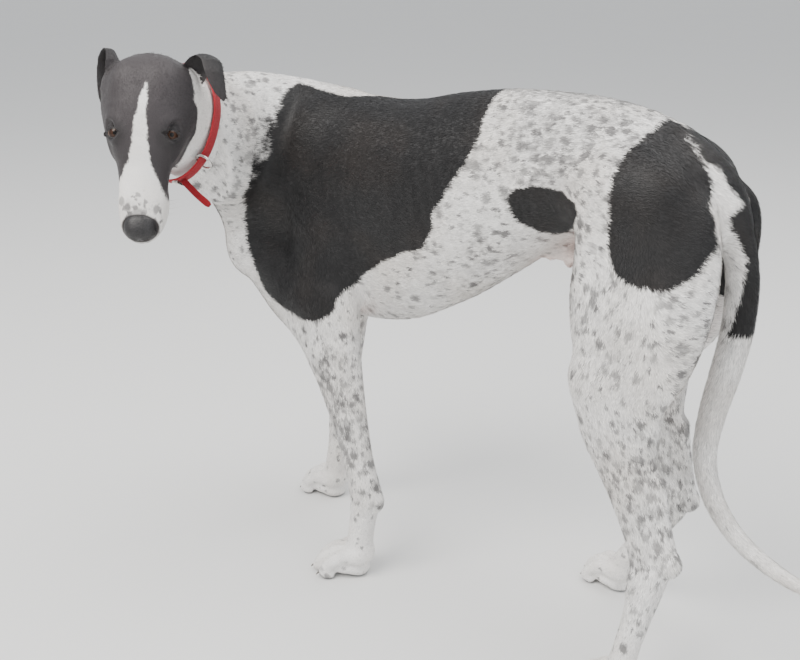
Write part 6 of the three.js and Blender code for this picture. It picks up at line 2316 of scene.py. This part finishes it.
    def soften(self, mesh: Mesh, way: Array, along: Array, aside: Array) -> None:
        """Turns the tufts' shading towards the skin's, so that they read as one coat."""
        left = unit(way - 0.34 * aside - 0.12 * along)
        right = unit(way + 0.34 * aside - 0.12 * along)
        tip = unit(way - 0.1 * along)
        bent = np.stack([left, right, left, right, tip], axis=1).reshape(-1, 3)
        mesh.normals_split_custom_set_from_vertices(bent.astype(np.float32))


@dataclass
class Studio:
    """The pale floor, the soft lights and the camera."""

    eye: Row = (0.8036, -1.1084, 0.888)
    right: Row = (0.77715, 0.62932, 0.0)
    up: Row = (-0.20281, 0.25045, 0.94665)
    back: Row = (0.59575, -0.73568, 0.32227)
    lens: float = 51.3

    def build(self) -> None:
        """Builds the floor, lights and camera."""
        self.floor()
        self.lights()
        self.camera()

    def floor(self) -> None:
        """Builds a wide flat pale floor."""
        bpy.ops.object.select_all(action="DESELECT")
        bpy.ops.mesh.primitive_grid_add(x_subdivisions=40, y_subdivisions=40, size=90, location=(0, 0, 0))
        obj = bpy.context.active_object
        obj.name = obj.data.name = "studio_floor"
        obj.data.materials.append(FloorFinish("studio_paper", roughness=0.9, specular=0.2).material())

    def lights(self) -> None:
        """Sets a bright even sky with a large soft key above and a weaker fill."""
        world = bpy.data.worlds.new("studio_air")
        bpy.context.scene.world = world
        world.use_nodes = True
        world.node_tree.nodes["Background"].inputs["Color"].default_value = (0.9, 0.92, 0.95, 1)
        world.node_tree.nodes["Background"].inputs["Strength"].default_value = 1.0
        self.area("key_light", (-0.6, -2.2, 3.2), 2.4, 170, (1.0, 0.97, 0.93))
        self.area("top_light", (0.6, 0.8, 3.4), 2.6, 80, (1.0, 0.99, 0.97))
        self.area("fill_light", (2.6, -0.6, 1.4), 2.0, 18, (0.94, 0.97, 1.0))

    def area(self, name: str, place: Row, size: float, power: float, colour: Row) -> None:
        """Adds a square soft light that looks at the body."""
        data = bpy.data.lights.new(name, "AREA")
        data.size = size
        data.energy = power
        data.color = colour
        light = bpy.data.objects.new(name, data)
        bpy.context.scene.collection.objects.link(light)
        light.location = place
        light.rotation_euler = (Vector(place) - Vector((0, 0, 0.45))).to_track_quat("Z", "Y").to_euler()

    def camera(self) -> None:
        """Sets the camera where the photograph was taken from."""
        data = bpy.data.cameras.new("camera")
        data.sensor_width = 36
        data.sensor_fit = "HORIZONTAL"
        data.lens = self.lens
        data.clip_start = 0.05
        camera = bpy.data.objects.new("camera", data)
        bpy.context.scene.collection.objects.link(camera)
        turned = Matrix([self.right, self.up, self.back]).transposed().to_4x4()
        camera.matrix_world = Matrix.Translation(self.eye) @ turned
        bpy.context.scene.camera = camera


HEAD_SKIN = HeadSkin(
    name="head_skin",
    nodes=("head", "nose", "eye_left", "eye_right", "ear_left", "ear_right", "neck"),
    voxel=1.6,
    flesh=FACE,
    neck_side=1,
    reach=1.6,
    splits=2,
)
BODY_NODES = (
    "neck", "torso_front", "torso_rear", "foreleg_left", "foreleg_right", "fore_paw_left", "fore_paw_right",
    "thigh_left", "thigh_right", "hind_leg_left", "hind_leg_right", "hind_paw_left", "hind_paw_right",
    "tail_root", "tail_middle", "tail_end",
)
BODY_SKIN = BodySkin(
    name="body_skin",
    nodes=BODY_NODES,
    voxel=4.5,
    flesh=BODY,
    neck_side=-1,
    reach=5.0,
)


def main() -> None:
    """Builds the skins, the pieces of the head, the claws, the collar, the coat and the studio."""
    logging.basicConfig(level=logging.INFO, format="%(name)s %(message)s", stream=sys.stdout)
    Studio().build()
    head = HEAD_SKIN.build()
    body = BODY_SKIN.build()
    dress(head, SKIN, "dark_coat", "head", "ear_left", "ear_right")
    dress(body, SKIN, "patched_coat", *BODY_NODES)
    Eyes().build()
    Nose().build()
    Claws().build()
    Whiskers().build()
    Collar().build()
    Coat([head, body]).build()


if __name__ == "__main__":
    main()
